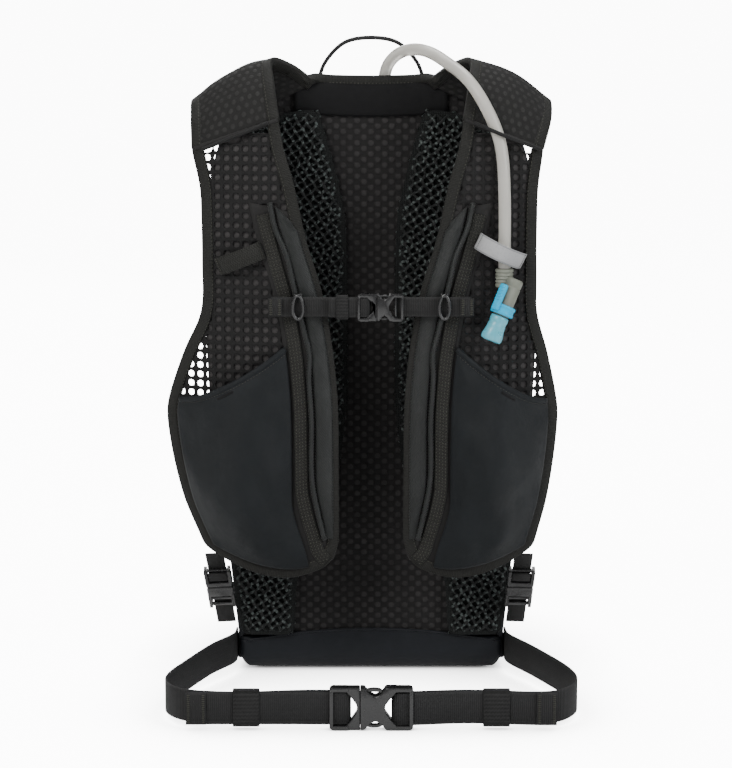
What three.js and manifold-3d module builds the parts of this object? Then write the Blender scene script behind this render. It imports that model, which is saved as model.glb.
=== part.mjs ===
// Vest-style hydration pack, standing on its base with the hip belt buckled in front of it.
// Millimetres, +Z up. The wearer's side faces -Y, the outer front faces +Y and +X is to the right
// when the harness is looked at. Shapes are laid out from the front face of the back panel (y = 0)
// and moved at the end, so that the origin is under the middle of the base.
import * as THREE from 'three';
import { mergeVertices } from 'three/addons/utils/BufferGeometryUtils.js';
import Module from 'manifold-3d';

const wasm = await Module();
wasm.setup();

// ---------------------------------------------------------------- driving dimensions

const packHeight = 480; // floor to the neckline
const packWidth = 262; // widest part of the bag
const packDepth = 150; // back panel to the fullest part of the front
const harnessReach = 76; // back panel to the middle of a harness wing's mesh

const gap = 0.4; // between pieces that touch
const play = 0.5; // between pieces that slide on each other

const shellWall = 2; // lined pack fabric
const boardWall = 4; // back panel board and foam
const baseHeight = 28; // how far the base tray's wall stands up
const baseRounding = 16; // radius of the base's lower edge
const slitDepth = 22; // depth of the reservoir sleeve's mouth at the neckline
const padWall = 11; // spacer mesh back pads

const wingWall = 3; // harness wing mesh with its binding
const shoulderWall = 4; // padded shoulder part
const pocketWall = 1.5; // stretch pocket fabric
const pocketBulge = 18; // how far a loaded wing pocket stands off its wing
const sleeveWidth = 10.5; // satin sleeve beside the rail
const sleeveWall = 1.6;
const loopTapeWidth = 14; // gear loop and hose loop
const loopTapeWall = 1.2;
const loopBump = 7;
const keeperCordRadius = 1.5; // elastic cord across each shoulder

const railRadius = 2.2; // piping rail that the sternum strap rides on
const sternumHeight = packHeight * 31 / 48;
const sternumTravel = 20; // each way
const sternumWebbing = 15;
const beltWebbing = 25;
const adjusterWebbing = 15;
const webbingWall = 1.6;

const sternumBuckle = { half: 17.5, height: 21, thick: 9, bar: 2, window: 3, webbing: sternumWebbing };
const beltBuckle = { half: 31.5, height: 33, thick: 11, bar: 3, window: 7, webbing: beltWebbing };
const adjusterBuckle = { half: 22, height: 21, thick: 9, bar: 2.4, window: 5, webbing: adjusterWebbing };
const buckleShift = 7; // the sternum buckle sits this far to the right of the middle
const sternumRelease = 17; // how far each male half draws out
const beltRelease = 34;
const adjusterRelease = 14;

const beltFront = 163; // front run of the hip belt, forward of the back panel
const haulTapeWidth = 12.5;
const haulTapeWall = 2.4;
const haulRise = 31; // haul loop above the neckline
const haulSpan = 84;

const hoseRadius = 4.75;
const zipWidth = 8; // both chains
const zipWall = 1.6;

// ---------------------------------------------------------------- small tools

const V = (x, y, z) => new THREE.Vector3(x, y, z);
const lerp = THREE.MathUtils.lerp;
const halfWidth = packWidth / 2;

// A smooth curve through [position, value] knots, read as a function.
function profile(knots) {
  const slope = (i) => {
    const a = knots[Math.max(i - 1, 0)];
    const b = knots[Math.min(i + 1, knots.length - 1)];
    return (b[1] - a[1]) / (b[0] - a[0]);
  };
  return (x) => {
    let i = 0;
    while (i < knots.length - 2 && x > knots[i + 1][0]) i += 1;
    const [x0, y0] = knots[i];
    const [x1, y1] = knots[i + 1];
    const t = THREE.MathUtils.clamp((x - x0) / (x1 - x0), 0, 1);
    const span = x1 - x0;
    const bend = slope(i) * span * t * (1 - t) ** 2 - slope(i + 1) * span * t * t * (1 - t);
    return y0 + (y1 - y0) * t * t * (3 - 2 * t) + bend;
  };
}

// A closed sheet of even thickness about a surface(u, v), made by bending a box.
function bentSheet(surface, across, along, wall) {
  const sheet = new THREE.BoxGeometry(1, 1, 1, across, along, 1);
  const at = sheet.attributes.position;
  const step = 1e-3;
  for (let i = 0; i < at.count; i += 1) {
    const u = at.getX(i) + 0.5;
    const v = at.getY(i) + 0.5;
    const du = surface(u + step, v).sub(surface(u - step, v));
    const dv = surface(u, v + step).sub(surface(u, v - step));
    const point = surface(u, v).addScaledVector(du.cross(dv).normalize(), at.getZ(i) * wall);
    at.setXYZ(i, point.x, point.y, point.z);
  }
  return sheet;
}

// A flat strap of even thickness through `points`, with its width along `across` and `steps`
// steps between each point and the next.
function strapAlong(points, width, wall, across, steps) {
  const route = new THREE.CatmullRomCurve3(points, false, 'centripetal');
  const end = 1e-3;
  const surface = (u, v) => {
    const t = THREE.MathUtils.clamp(v, 0, 1);
    const tangent = route.getTangent(THREE.MathUtils.clamp(v, end, 1 - end));
    const point = route.getPoint(t).addScaledVector(across, (u - 0.5) * width);
    return point.addScaledVector(tangent, (v - t) * 100);
  };
  return bentSheet(surface, 1, steps * (points.length - 1), wall);
}

function block(x0, x1, y0, y1, z0, z1) {
  const box = new THREE.BoxGeometry(x1 - x0, y1 - y0, z1 - z0);
  return box.translate((x0 + x1) / 2, (y0 + y1) / 2, (z0 + z1) / 2);
}

function roundedRectangle(width, height, radius) {
  const x = width / 2;
  const y = height / 2;
  const shape = new THREE.Shape();
  shape.moveTo(-x + radius, -y).lineTo(x - radius, -y).quadraticCurveTo(x, -y, x, -y + radius);
  shape.lineTo(x, y - radius).quadraticCurveTo(x, y, x - radius, y);
  shape.lineTo(-x + radius, y).quadraticCurveTo(-x, y, -x, y - radius);
  shape.lineTo(-x, -y + radius).quadraticCurveTo(-x, -y, -x + radius, -y);
  return shape;
}

// A shape drawn in X and Z, thick along Y from `front`, with optional soft edges.
function plate(shape, front, thick, edge = 0, curve = 2) {
  const bevel = { bevelEnabled: edge > 0, bevelThickness: edge, bevelSize: edge, bevelOffset: -edge };
  const options = { depth: thick - 2 * edge, steps: 1, curveSegments: curve, bevelSegments: 1, ...bevel };
  const solid = new THREE.ExtrudeGeometry(shape, options);
  return solid.rotateX(Math.PI / 2).translate(0, front + thick - edge, 0);
}

function outline(points) {
  return new THREE.Shape(points.map(([x, y]) => new THREE.Vector2(x, y)));
}

function tube(points, radius, sides, steps) {
  const section = new THREE.Shape();
  section.absarc(0, 0, radius, 0, 2 * Math.PI);
  const extrudePath = new THREE.CatmullRomCurve3(points, false, 'centripetal');
  const options = { steps, curveSegments: sides, bevelEnabled: false, extrudePath };
  return new THREE.ExtrudeGeometry(section, options);
}

function solidOf(geometry) {
  const bare = geometry.clone();
  bare.deleteAttribute('normal');
  bare.deleteAttribute('uv');
  const merged = mergeVertices(bare, 1e-4);
  const vertProperties = merged.attributes.position.array;
  const triVerts = new Uint32Array(merged.index.array);
  return new wasm.Manifold(new wasm.Mesh({ numProp: 3, vertProperties, triVerts }));
}

// The first group of geometries joined, less the second group.
function carve(joined, removed = []) {
  let solid = solidOf(joined[0]);
  for (const piece of joined.slice(1)) solid = solid.add(solidOf(piece));
  for (const piece of removed) solid = solid.subtract(solidOf(piece));
  const { vertProperties, triVerts } = solid.getMesh();
  const result = new THREE.BufferGeometry();
  result.setAttribute('position', new THREE.BufferAttribute(new Float32Array(vertProperties), 3));
  result.setIndex(new THREE.BufferAttribute(new Uint32Array(triVerts), 1));
  return result;
}

const finish = (color, roughness, metalness = 0) => ({ color, roughness, metalness });
const finishes = {
  packFabric: finish(0x15171b, 0.8),
  baseFabric: finish(0x14171c, 0.7),
  mesh: finish(0x1e1f20, 0.9),
  padMesh: finish(0x1c1f1d, 0.75),
  shoulder: finish(0x1a1a1a, 0.85),
  stretch: finish(0x15181d, 0.75),
  satin: finish(0x2b2d2f, 0.45),
  webbing: finish(0x161616, 0.85),
  acetal: finish(0x101011, 0.35),
  label: finish(0xc9cbcc, 0.7),
  hose: finish(0xd9d8d0, 0.35),
  valve: finish(0x8a8a80, 0.4),
  lever: finish(0x32b4e6, 0.35),
  silicone: finish(0x9fdcf2, 0.3),
  film: finish(0xbcd9e6, 0.3),
  zip: finish(0x121212, 0.6),
};

const pack = new THREE.Group();

function add(name, geometry, finishName, parent = pack) {
  const mesh = new THREE.Mesh(geometry, new THREE.MeshStandardMaterial(finishes[finishName]));
  mesh.name = name;
  parent.add(mesh);
}

function frameOf(origin, xAxis, yAxis, zAxis) {
  const frame = new THREE.Group();
  frame.quaternion.setFromRotationMatrix(new THREE.Matrix4().makeBasis(xAxis, yAxis, zAxis));
  frame.position.copy(origin);
  pack.add(frame);
  return frame;
}

const sides = [['left', -1], ['right', 1]];

// ---------------------------------------------------------------- the bag's shell

const heights = (table, size) => profile(table.map(([h, f]) => [h * packHeight, f * size]));

const bagHalfWidth = heights([
  [0, 0.775], [0.058, 0.81], [0.19, 0.863], [0.31, 0.924], [0.52, 0.985], [0.69, 1],
  [0.83, 0.965], [0.917, 0.87], [0.962, 0.72], [0.988, 0.5],
], halfWidth);
const bagDepthShape = heights([
  [0, 0.84], [0.058, 0.89], [0.19, 0.97], [0.31, 1], [0.5, 0.96], [0.69, 0.86],
  [0.83, 0.69], [0.917, 0.47], [0.962, 0.22], [0.988, 0],
], packDepth - slitDepth);
const bagDepth = (z) => bagDepthShape(z) + slitDepth;

const squareness = 4.5; // of the bag's horizontal section
const shellTop = 0.988 * packHeight;
const shellBottom = baseHeight + gap;

// A point of the shell: `turn` goes from -90 degrees at the left seam round to 90 at the right one.
function shellPoint(turn, z, inset) {
  const power = 2 / squareness;
  const rounded = (s) => Math.sign(s) * Math.abs(s) ** power;
  const x = (bagHalfWidth(z) - inset) * rounded(Math.sin(turn));
  const y = (bagDepth(z) - inset) * rounded(Math.cos(turn));
  return V(x, y, z);
}

// The outward direction of the shell there.
function shellNormal(turn, z) {
  const round = shellPoint(turn + 0.01, z, 0).sub(shellPoint(turn - 0.01, z, 0));
  const up = shellPoint(turn, z + 0.5, 0).sub(shellPoint(turn, z - 0.5, 0));
  return up.cross(round).normalize();
}

const zipTurn = THREE.MathUtils.degToRad(50); // side runs of the main zip
const zipShoulder = 0.54 * packHeight; // where the zip starts to arch over
const zipCrown = 0.955 * packHeight;
const zipFoot = 0.2 * packHeight;

function archHeight(turn) {
  const share = Math.min(Math.abs(turn) / zipTurn, 1);
  return zipShoulder + (zipCrown - zipShoulder) * (1 - share ** 2.6) ** (1 / 2.6);
}

const seamTurn = Math.PI / 2;
const zipHalfTurn = 0.035; // half of the zip tape, as a turn about the bag

// `crowding` above 1 sets the rows closer together towards the top.
function shellSheet(turnFrom, turnTo, lowAt, highAt, across, along, crowding = 1) {
  const surface = (u, v) => {
    const turn = lerp(turnFrom, turnTo, u);
    const share = v < 1 ? 1 - (1 - v) ** crowding : v;
    return shellPoint(turn, lerp(lowAt(turn), highAt(turn), share), shellWall / 2);
  };
  return bentSheet(surface, across, along, shellWall);
}

const chainHalf = zipWidth / 2 + gap;
const zipRise = 3.5 * gap; // the chain lies on the panels' edges
const archEdge = (turn, sign) => archHeight(turn) + sign * chainHalf;
add('front_panel', shellSheet(
  -(zipTurn - zipHalfTurn), zipTurn - zipHalfTurn,
  () => shellBottom, (turn) => archEdge(turn * 1.04, -1), 10, 8), 'packFabric');
add('upper_panel', shellSheet(
  -seamTurn, seamTurn, (turn) => archEdge(turn * 0.97, 1), () => shellTop, 18, 7, 1.7), 'packFabric');
for (const [side, sign] of sides) {
  const from = sign < 0 ? -seamTurn : zipTurn + zipHalfTurn;
  const to = sign < 0 ? -(zipTurn + zipHalfTurn) : seamTurn;
  const top = () => zipShoulder + chainHalf - gap;
  add(`side_panel_${side}`, shellSheet(from, to, () => shellBottom, top, 4, 6), 'packFabric');
}

// The zip's route, from the foot of its left run over the top to the foot of its right run.
function zipRoute(v) {
  const runShare = 0.28;
  if (v < runShare) return [-zipTurn, lerp(zipFoot, zipShoulder, v / runShare)];
  if (v > 1 - runShare) return [zipTurn, lerp(zipFoot, zipShoulder, (1 - v) / runShare)];
  const angle = Math.PI * (1 - (v - runShare) / (1 - 2 * runShare));
  const share = Math.sign(Math.cos(angle)) * Math.abs(Math.cos(angle)) ** (2 / 2.6);
  const turn = zipTurn * share;
  return [turn, archHeight(turn)];
}

function zipSurface(u, v) {
  const place = (w) => {
    const [turn, z] = zipRoute(THREE.MathUtils.clamp(w, 0, 1));
    return shellPoint(turn, z, 0).addScaledVector(shellNormal(turn, z), zipRise + zipWall / 2);
  };
  const along = place(v + 0.01).sub(place(v - 0.01)).normalize();
  const outward = shellNormal(...zipRoute(THREE.MathUtils.clamp(v, 0, 1)));
  return place(v).addScaledVector(outward.cross(along).normalize(), (u - 0.5) * zipWidth);
}
add('main_zip_chain', bentSheet(zipSurface, 1, 28, zipWall), 'zip');

// ---------------------------------------------------------------- back panel, base and pads

const boardRows = [
  0.062, 0.12, 0.19, 0.25, 0.31, 0.42, 0.52, 0.6, 0.69, 0.77, 0.83, 0.88, 0.917, 0.94, 0.962, 0.98,
];
const boardEdge = boardRows.map((h) => {
  const z = h * packHeight;
  const slope = (bagHalfWidth(z + 1) - bagHalfWidth(z - 1)) / 2;
  return [bagHalfWidth(z) - (shellWall + 4 * gap) * Math.hypot(1, slope), z];
});
const neckHalf = haulSpan / 2 + 3;
boardEdge.push([neckHalf, packHeight - 1]);
const mirrored = (edge) => edge.slice().reverse().map(([x, z]) => [-x, z]);
add('back_panel', plate(outline([...boardEdge, ...mirrored(boardEdge)]), 0, boardWall), 'mesh');

function planOutline(z, inset) {
  const turns = 18;
  const points = [];
  for (let i = 0; i <= turns; i += 1) {
    const point = shellPoint(lerp(-seamTurn, seamTurn, i / turns), z, 0);
    const wide = bagHalfWidth(z);
    const x = point.x * (1 - inset / wide);
    points.push([x, Math.max(point.y * (1 - 2 * inset / bagDepth(z)) + inset, inset)]);
  }
  return outline(points);
}

function baseTray() {
  const bevel = { bevelThickness: baseRounding, bevelSize: baseRounding, bevelSegments: 3 };
  const options = { depth: packHeight / 4, steps: 1, ...bevel };
  const outer = new THREE.ExtrudeGeometry(planOutline(baseHeight, baseRounding), options);
  outer.translate(0, 0, baseRounding);
  const innerRounding = baseRounding - shellWall;
  const innerBevel = { bevelThickness: innerRounding, bevelSize: innerRounding, bevelSegments: 3 };
  const innerOptions = { depth: packHeight / 4, steps: 1, ...innerBevel };
  const inner = new THREE.ExtrudeGeometry(planOutline(baseHeight, baseRounding), innerOptions);
  inner.translate(0, 0, baseRounding);
  const far = 2 * packWidth;
  return carve([outer], [inner, block(-far, far, -far, far, baseHeight, packHeight)]);
}
add('base_panel', baseTray(), 'baseFabric');

// Outer edge, then inner edge, of one back pad: [share of half width, share of height].
const padOuter = [[0.8, 0.066], [0.85, 0.16], [0.9, 0.36], [0.93, 0.6], [0.92, 0.78], [0.86, 0.885]];
const padInner = [
  [0.72, 0.92], [0.5, 0.945], [0.32, 0.95], [0.215, 0.85], [0.16, 0.78], [0.145, 0.7], [0.145, 0.46],
  [0.19, 0.36], [0.33, 0.24], [0.46, 0.16], [0.475, 0.066],
];
for (const [side, sign] of sides) {
  const points = [...padOuter, ...padInner].map(([x, h]) => [sign * x * halfWidth, h * packHeight]);
  add(`back_pad_${side}`, plate(outline(points), -padWall - gap, padWall, 3), 'padMesh');
}

// ---------------------------------------------------------------- harness wings

const wingInner = heights([
  [0.19, 0.2], [0.26, 0.195], [0.36, 0.195], [0.49, 0.2], [0.59, 0.237], [0.67, 0.294],
  [0.75, 0.382], [0.844, 0.458], [0.892, 0.511], [0.9375, 0.542],
], halfWidth);
const wingOuterShape = heights([
  [0.19, 0.96], [0.242, 0.995], [0.2875, 1.065], [0.32, 1.115], [0.383, 1.176], [0.448, 1.214],
  [0.481, 1.21], [0.565, 1.107], [0.631, 1.0], [0.71, 0.99], [0.785, 0.992], [0.833, 1.0], [0.8875, 1.046],
], 1);
const wingFlare = { [-1]: 1, 1: 0.62 }; // the right wing is tucked in more than the left one
const wingTrim = { [-1]: 0, 1: 3.5 };
const wingOuter = (z, sign) => halfWidth * (1 + (wingOuterShape(z) - 1) * wingFlare[sign]) - wingTrim[sign];

const reachAt = heights([
  [0.19, 0.87], [0.25, 0.92], [0.35, 0.975], [0.46, 1], [0.55, 1], [0.65, 1], [0.75, 1], [0.83, 0.99],
  [0.89, 0.955], [0.9375, 0.87], [0.98, 0.75],
], harnessReach);
const wrapStart = 0.42 * halfWidth;
const wrapDepth = 51.5; // how far a wing as wide as half the bag would wrap back

// The middle of a wing's mesh at a place seen from the front.
function wingY(x, z) {
  const out = Math.max(Math.abs(x) - wrapStart, 0) / halfWidth;
  return -reachAt(z) + wrapDepth * out * out;
}

const wingFoot = profile([
  [0, 0.254], [0.06, 0.223], [0.2, 0.206], [0.4, 0.196], [0.65, 0.204], [0.87, 0.225], [1, 0.244],
].map(([u, h]) => [u, h * packHeight]));
const seamHeight = (u) => lerp(0.938, 0.89, u) * packHeight; // where wing and shoulder meet

function wingPoint(sign, u, v, forward = 0) {
  const z = lerp(seamHeight(u), wingFoot(THREE.MathUtils.clamp(u, 0, 1)), v);
  const x = sign * lerp(wingInner(z), wingOuter(z, sign), u);
  return V(x, wingY(x, z) - forward, z);
}

function shoulderPoint(sign, u, v) {
  const front = wingPoint(sign, u, 0).add(V(0, 0, 2 * gap));
  const rows = [
    [[0.33, -0.04, 0.994], [0.93, -0.04, 0.913]],
    [[0.46, -0.18, 1.018], [1.015, -0.17, 0.946]],
    [[0.585, -0.42, 1.029], [1.05, -0.38, 0.963]],
    [[0.577, -0.67, 0.998], [1.05, -0.57, 0.937]],
  ].map((row) => row.map(([x, y, z]) => V(sign * x * halfWidth, y * harnessReach, z * packHeight)));
  const points = rows.map(([inner, outer]) => inner.clone().lerp(outer, u));
  const route = new THREE.CatmullRomCurve3([...points, front], false, 'centripetal');
  const t = THREE.MathUtils.clamp(v, 0, 1);
  const point = route.getPoint(t).addScaledVector(route.getTangent(t), (v - t) * 100);
  point.z += 5 * Math.sin(Math.PI * THREE.MathUtils.clamp(u, 0, 1)) * Math.sin(Math.PI * t);
  return point;
}

const pocketTop = profile([[0, 0.58], [0.72, 0.5], [1, 0.486]].map(([u, h]) => [u, h * packHeight]));
const tapeInset = 36; // outer edge of the stitched tape, from the wing's inner edge
const pocketRise = pocketWall / 2 + wingWall / 2 + 3 * gap;

function pocketPoint(sign, u, v) {
  const margin = 2.5;
  const share = THREE.MathUtils.clamp(u, 0, 1);
  const footShare = lerp(0.3, 0.985, share);
  const z = lerp(pocketTop(share), wingFoot(footShare) + 4, v);
  const foot = THREE.MathUtils.smoothstep(z, 0.2 * packHeight, 0.33 * packHeight);
  const from = wingInner(z) + lerp(0.62, 1, foot) * tapeInset;
  const x = sign * lerp(from, wingOuter(z, sign) - margin, u);
  const swell = (0.55 + 0.45 * Math.sin(Math.PI * v)) * (1 - v ** 6);
  const bulge = pocketBulge * Math.sin(Math.PI * share) * swell;
  return V(x, wingY(x, z) - pocketRise - bulge, z);
}

const railInset = 22; // rail from the wing's inner edge
const railRise = wingWall / 2 + gap + railRadius + 0.4; // rail's axis in front of the wing's middle
const railSlope = 0.224; // outwards for each millimetre up, where the sternum slider travels
const railX = (z) => wingInner(sternumHeight) + railInset - 2 + railSlope * (z - sternumHeight);
const railReach = sternumTravel + 18;

function railPoints(sign) {
  const points = [];
  for (const h of [0.262, 0.36, 0.46, 0.53]) {
    const z = h * packHeight;
    const x = sign * (wingInner(z) + lerp(0.5, 0.92, Math.min((h - 0.262) / 0.1, 1)) * railInset);
    points.push(V(x, wingY(x, z) - railRise, z));
  }
  const straight = 5;
  for (let i = 0; i < straight; i += 1) {
    const z = lerp(sternumHeight - railReach, sternumHeight + railReach, i / (straight - 1));
    points.push(V(sign * railX(z), -harnessReach - railRise, z));
  }
  for (const h of [0.77, 0.81]) {
    const z = h * packHeight;
    const x = sign * (wingInner(z) + 0.95 * railInset);
    points.push(V(x, wingY(x, z) - railRise, z));
  }
  return points;
}

// A short tape sewn down at both ends, standing off the wing between them.
function loopTape(sign, from, to, width, bump) {
  const along = V(to[0] - from[0], 0, to[1] - from[1]).normalize();
  const across = V(-along.z, 0, along.x);
  const surface = (u, v) => {
    const t = THREE.MathUtils.clamp(v, 0, 1);
    const x = lerp(from[0], to[0], v) + across.x * (u - 0.5) * width;
    const z = lerp(from[1], to[1], v) + across.z * (u - 0.5) * width;
    const rise = wingWall / 2 + gap + loopTapeWall / 2 + bump * Math.sin(Math.PI * t) ** 0.55;
    return V(sign * x, wingY(x, z) - rise, z);
  };
  return bentSheet(surface, 1, 10, loopTapeWall);
}

const cordSlack = 1.6;
const cordCrossing = 0.763 * halfWidth; // where the hose passes behind the right shoulder's cord
for (const [side, sign] of sides) {
  add(`harness_wing_${side}`, bentSheet((u, v) => wingPoint(sign, u, v), 6, 11, wingWall), 'mesh');
  add(`shoulder_${side}`, bentSheet((u, v) => shoulderPoint(sign, u, v), 4, 8, shoulderWall), 'shoulder');
  add(`wing_pocket_${side}`, bentSheet((u, v) => pocketPoint(sign, u, v), 6, 6, pocketWall), 'stretch');
  const sleeve = (u, v) => {
    const z = lerp(0.8, 0.27, v) * packHeight;
    const widening = THREE.MathUtils.smoothstep(z, 0.26 * packHeight, 0.4 * packHeight);
    const width = sleeveWidth * lerp(0.5, 1, widening);
    const x = sign * (wingInner(z) + lerp(2.5, 3, widening) + width * u);
    return V(x, wingY(x, z) - wingWall / 2 - gap - sleeveWall / 2, z);
  };
  add(`strap_sleeve_${side}`, bentSheet(sleeve, 2, 12, sleeveWall), 'satin');
  add(`piping_rail_${side}`, tube(railPoints(sign), railRadius, 4, 20), 'webbing');
  const cordRise = wingWall / 2 + keeperCordRadius + gap;
  const cordEnds = { inner: [0.6, 0.935], outer: [0.985, 0.892] };
  const cord = [];
  for (const t of [0, 0.25, 0.5, 0.75, 1]) {
    const x = lerp(cordEnds.inner[0], cordEnds.outer[0], t) * halfWidth;
    const z = lerp(cordEnds.inner[1], cordEnds.outer[1], t) * packHeight;
    const overHose = sign * Math.exp(-(((x - cordCrossing) / 16) ** 2));
    const lift = Math.max(overHose, 0) * (2 * hoseRadius + 3.2);
    cord.push(V(sign * x, wingY(x, z) - cordRise - lift - cordSlack, z));
  }
  add(`shoulder_cord_${side}`, tube(cord, keeperCordRadius, 3, 10), 'webbing');
}
const loopEnds = { outer: [0.9, 0.705], inner: [0.635, 0.735] };
const placed = ([x, h]) => [x * halfWidth, h * packHeight];
add('gear_loop_left', loopTape(-1, placed(loopEnds.outer), placed(loopEnds.inner), loopTapeWidth, loopBump),
  'webbing');
const labelEnds = { outer: [0.89, 0.714], inner: [0.62, 0.75] };
const labelBump = 2 * hoseRadius + 10;
const label = loopTape(1, placed(labelEnds.outer), placed(labelEnds.inner), loopTapeWidth - 1, labelBump);
add('hose_loop_right', label, 'label');

// ---------------------------------------------------------------- buckles and straps

// A side-release buckle lies along its own X axis, with its male half towards -X, its width along Z
// and its thickness along Y. Webbing passes behind the bars (+Y), folds round the inner bar and
// comes back in front of them (-Y).
const barWall = 2.2;
const layerOffset = barWall / 2 + gap + webbingWall / 2;
const foldSlot = layerOffset + webbingWall / 2 + 5 * gap;
const ladderLength = (b) => 2 * b.bar + b.window + foldSlot;

function ladder(b) {
  const inner = b.webbing / 2 + play;
  const start = -b.half;
  const end = start + ladderLength(b);
  const rails = [-1, 1].map((s) => block(
    start, end, -b.thick / 2 + 1, b.thick / 2 - 1, Math.min(s * inner, s * b.height / 2),
    Math.max(s * inner, s * b.height / 2)));
  const bars = [start, start + b.bar + b.window].map((x) => block(
    x, x + b.bar, -barWall / 2, barWall / 2, -inner - 1, inner + 1));
  return { parts: [...rails, ...bars], end };
}

const shoulderLength = (b) => 0.16 * b.half;
const prongLength = (b) => 0.55 * b.half;

function maleHalf(b) {
  const { parts, end } = ladder(b);
  const face = end + shoulderLength(b);
  const tip = face + prongLength(b);
  const head = plate(roundedRectangle(face - end + 1, b.height, 1), -b.thick / 2 + 0.8, b.thick - 1.6, 0.8);
  head.translate((end + face) / 2 - 0.5, 0, 0);
  const prongThick = b.thick / 2 - 0.6;
  const reach = b.height / 2 - 2.2;
  const prongs = [-1, 1].map((s) => {
    const arm = outline([
      [face - 1, s * reach * 0.8], [face + 0.35 * (tip - face), s * reach], [tip - 1.5, s * reach],
      [tip, s * reach * 0.62], [tip - 2.5, s * reach * 0.62], [face - 1, s * reach * 0.45],
    ]);
    return plate(arm, -prongThick / 2, prongThick);
  });
  const guide = block(face - 1, tip - 2, -prongThick / 2, prongThick / 2, -reach * 0.14, reach * 0.14);
  return { geometry: carve([...parts, head, ...prongs, guide]), face, tip };
}

function femaleHalf(b, face, tip) {
  const { parts, end } = ladder(b);
  const mouth = face + gap;
  const body = plate(roundedRectangle(-end - mouth + 1, b.height, 2.5), -b.thick / 2, b.thick, 1.2);
  body.translate((mouth - end + 1) / 2, 0, 0);
  for (const part of parts) part.rotateY(Math.PI);
  const prongThick = b.thick / 2 - 0.6;
  const reach = b.height / 2 - 2.2;
  const cavity = block(
    mouth - 1, tip + 2 * play, -prongThick / 2 - play, prongThick / 2 + play, -reach - play, reach + play);
  const windowFrom = lerp(mouth, tip, 0.4);
  const windows = [-1, 1].map((s) => block(
    windowFrom, tip, -prongThick / 2 - play, prongThick / 2 + play, Math.min(0, s * b.height),
    Math.max(0, s * b.height)));
  return carve([body, ...parts], [cavity, ...windows]);
}

// Webbing that comes along behind the buckle, folds round the inner bar and ends as a tail in front.
function foldPoints(b, backEnd, tailEnd) {
  const fold = -b.half + 2 * b.bar + b.window + gap;
  const r = layerOffset;
  const bend = [0.25, 0.5, 0.75].map(
    (t) => V(fold + r * Math.sin(Math.PI * t), r * Math.cos(Math.PI * t), 0));
  return [V(backEnd, r, 0), V(lerp(backEnd, fold, 0.6), r, 0), V(fold, r, 0), ...bend, V(fold, -r, 0),
    V(lerp(fold, tailEnd, 0.4), -r, 0), V(tailEnd, -r, 0)];
}
const across = V(0, 0, 1);

function keeper(b, from, to) {
  const wall = 1.2;
  const deep = 2 * layerOffset + webbingWall + 2 * play;
  const tall = b.webbing + 2 * play;
  const outer = block(from, to, -deep / 2 - wall, deep / 2 + wall, -tall / 2 - wall, tall / 2 + wall);
  return carve([outer], [block(from - 1, to + 1, -deep / 2, deep / 2, -tall / 2, tall / 2)]);
}

// The hip belt: its right half carries the female buckle, and its left half draws apart from it.
const beltHeight = beltBuckle.height / 2 + gap;
const belt = frameOf(V(0, -beltFront, beltHeight), V(1, 0, 0), V(0, 1, 0), V(0, 0, 1));
const male = maleHalf(beltBuckle);
add('belt_buckle_male', male.geometry, 'acetal', belt);
add('belt_buckle_female', femaleHalf(beltBuckle, male.face, male.tip), 'acetal', belt);
const beltTailEnd = 139;
const beltKeeper = [84, 104];
const beltReach = 157; // how far the belt bows out at each side

function beltRoute(sign) {
  const start = bagHalfWidth(baseHeight) + 3;
  const forward = beltFront;
  return [
    V(sign * start, forward + 10, 5), V(sign * (start + 1.5), forward - 8, 4.5),
    V(sign * lerp(start, beltReach, 0.42), forward - 45, 3), V(sign * (beltReach - 4), 62, 1),
    V(sign * beltReach, 42, 0), V(sign * (beltReach - 3), 22, 0), V(sign * (beltReach - 16), 6, 0),
    V(sign * (beltReach - 34), layerOffset, 0),
  ];
}
const leftEnd = -beltBuckle.half - beltRelease - 2 * gap;
const leftRoute = [...beltRoute(-1), V(-90, layerOffset, 0), V(leftEnd, layerOffset, 0)];
add('belt_webbing_left', strapAlong(leftRoute, beltWebbing, webbingWall, across, 2), 'webbing', belt);
const tailLeft = foldPoints(beltBuckle, -beltBuckle.half, -beltTailEnd);
add('belt_tail_left', strapAlong(tailLeft, beltWebbing, webbingWall, across, 2), 'webbing', belt);
const rightFold = foldPoints(beltBuckle, -70, -beltTailEnd).map((p) => V(-p.x, p.y, 0));
const rightRoute = [...beltRoute(1), V(96, layerOffset, 0), ...rightFold];
add('belt_webbing_right', strapAlong(rightRoute, beltWebbing, webbingWall, across, 2), 'webbing', belt);
for (const [side, sign] of sides) {
  const [from, to] = beltKeeper.map((x) => sign * x).sort((a, b) => a - b);
  add(`belt_keeper_${side}`, keeper(beltBuckle, from, to), 'webbing', belt);
}

// The sternum strap rides on a slider on each piping rail.
const slotDeep = webbingWall + 2 * play;
const sliderWall = 1.5;
const railY = -harnessReach - railRise;
const slotY = railY - railRadius - play - sliderWall - slotDeep / 2;
const sternumY = slotY - layerOffset;
const sternum = frameOf(V(0, sternumY, sternumHeight), V(1, 0, 0), V(0, 1, 0), V(0, 0, 1));
const atBuckle = frameOf(V(buckleShift, sternumY, sternumHeight), V(1, 0, 0), V(0, 1, 0), V(0, 0, 1));
const chestMale = maleHalf(sternumBuckle);
add('sternum_buckle_male', chestMale.geometry, 'acetal', atBuckle);
add('sternum_buckle_female', femaleHalf(sternumBuckle, chestMale.face, chestMale.tip), 'acetal', atBuckle);
const sliderX = railX(sternumHeight);
const tabFrom = sliderX + 12.5;
const tabLength = 10;
const tabWall = 2 * webbingWall + gap;
const railAngle = Math.atan(railSlope);

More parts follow.
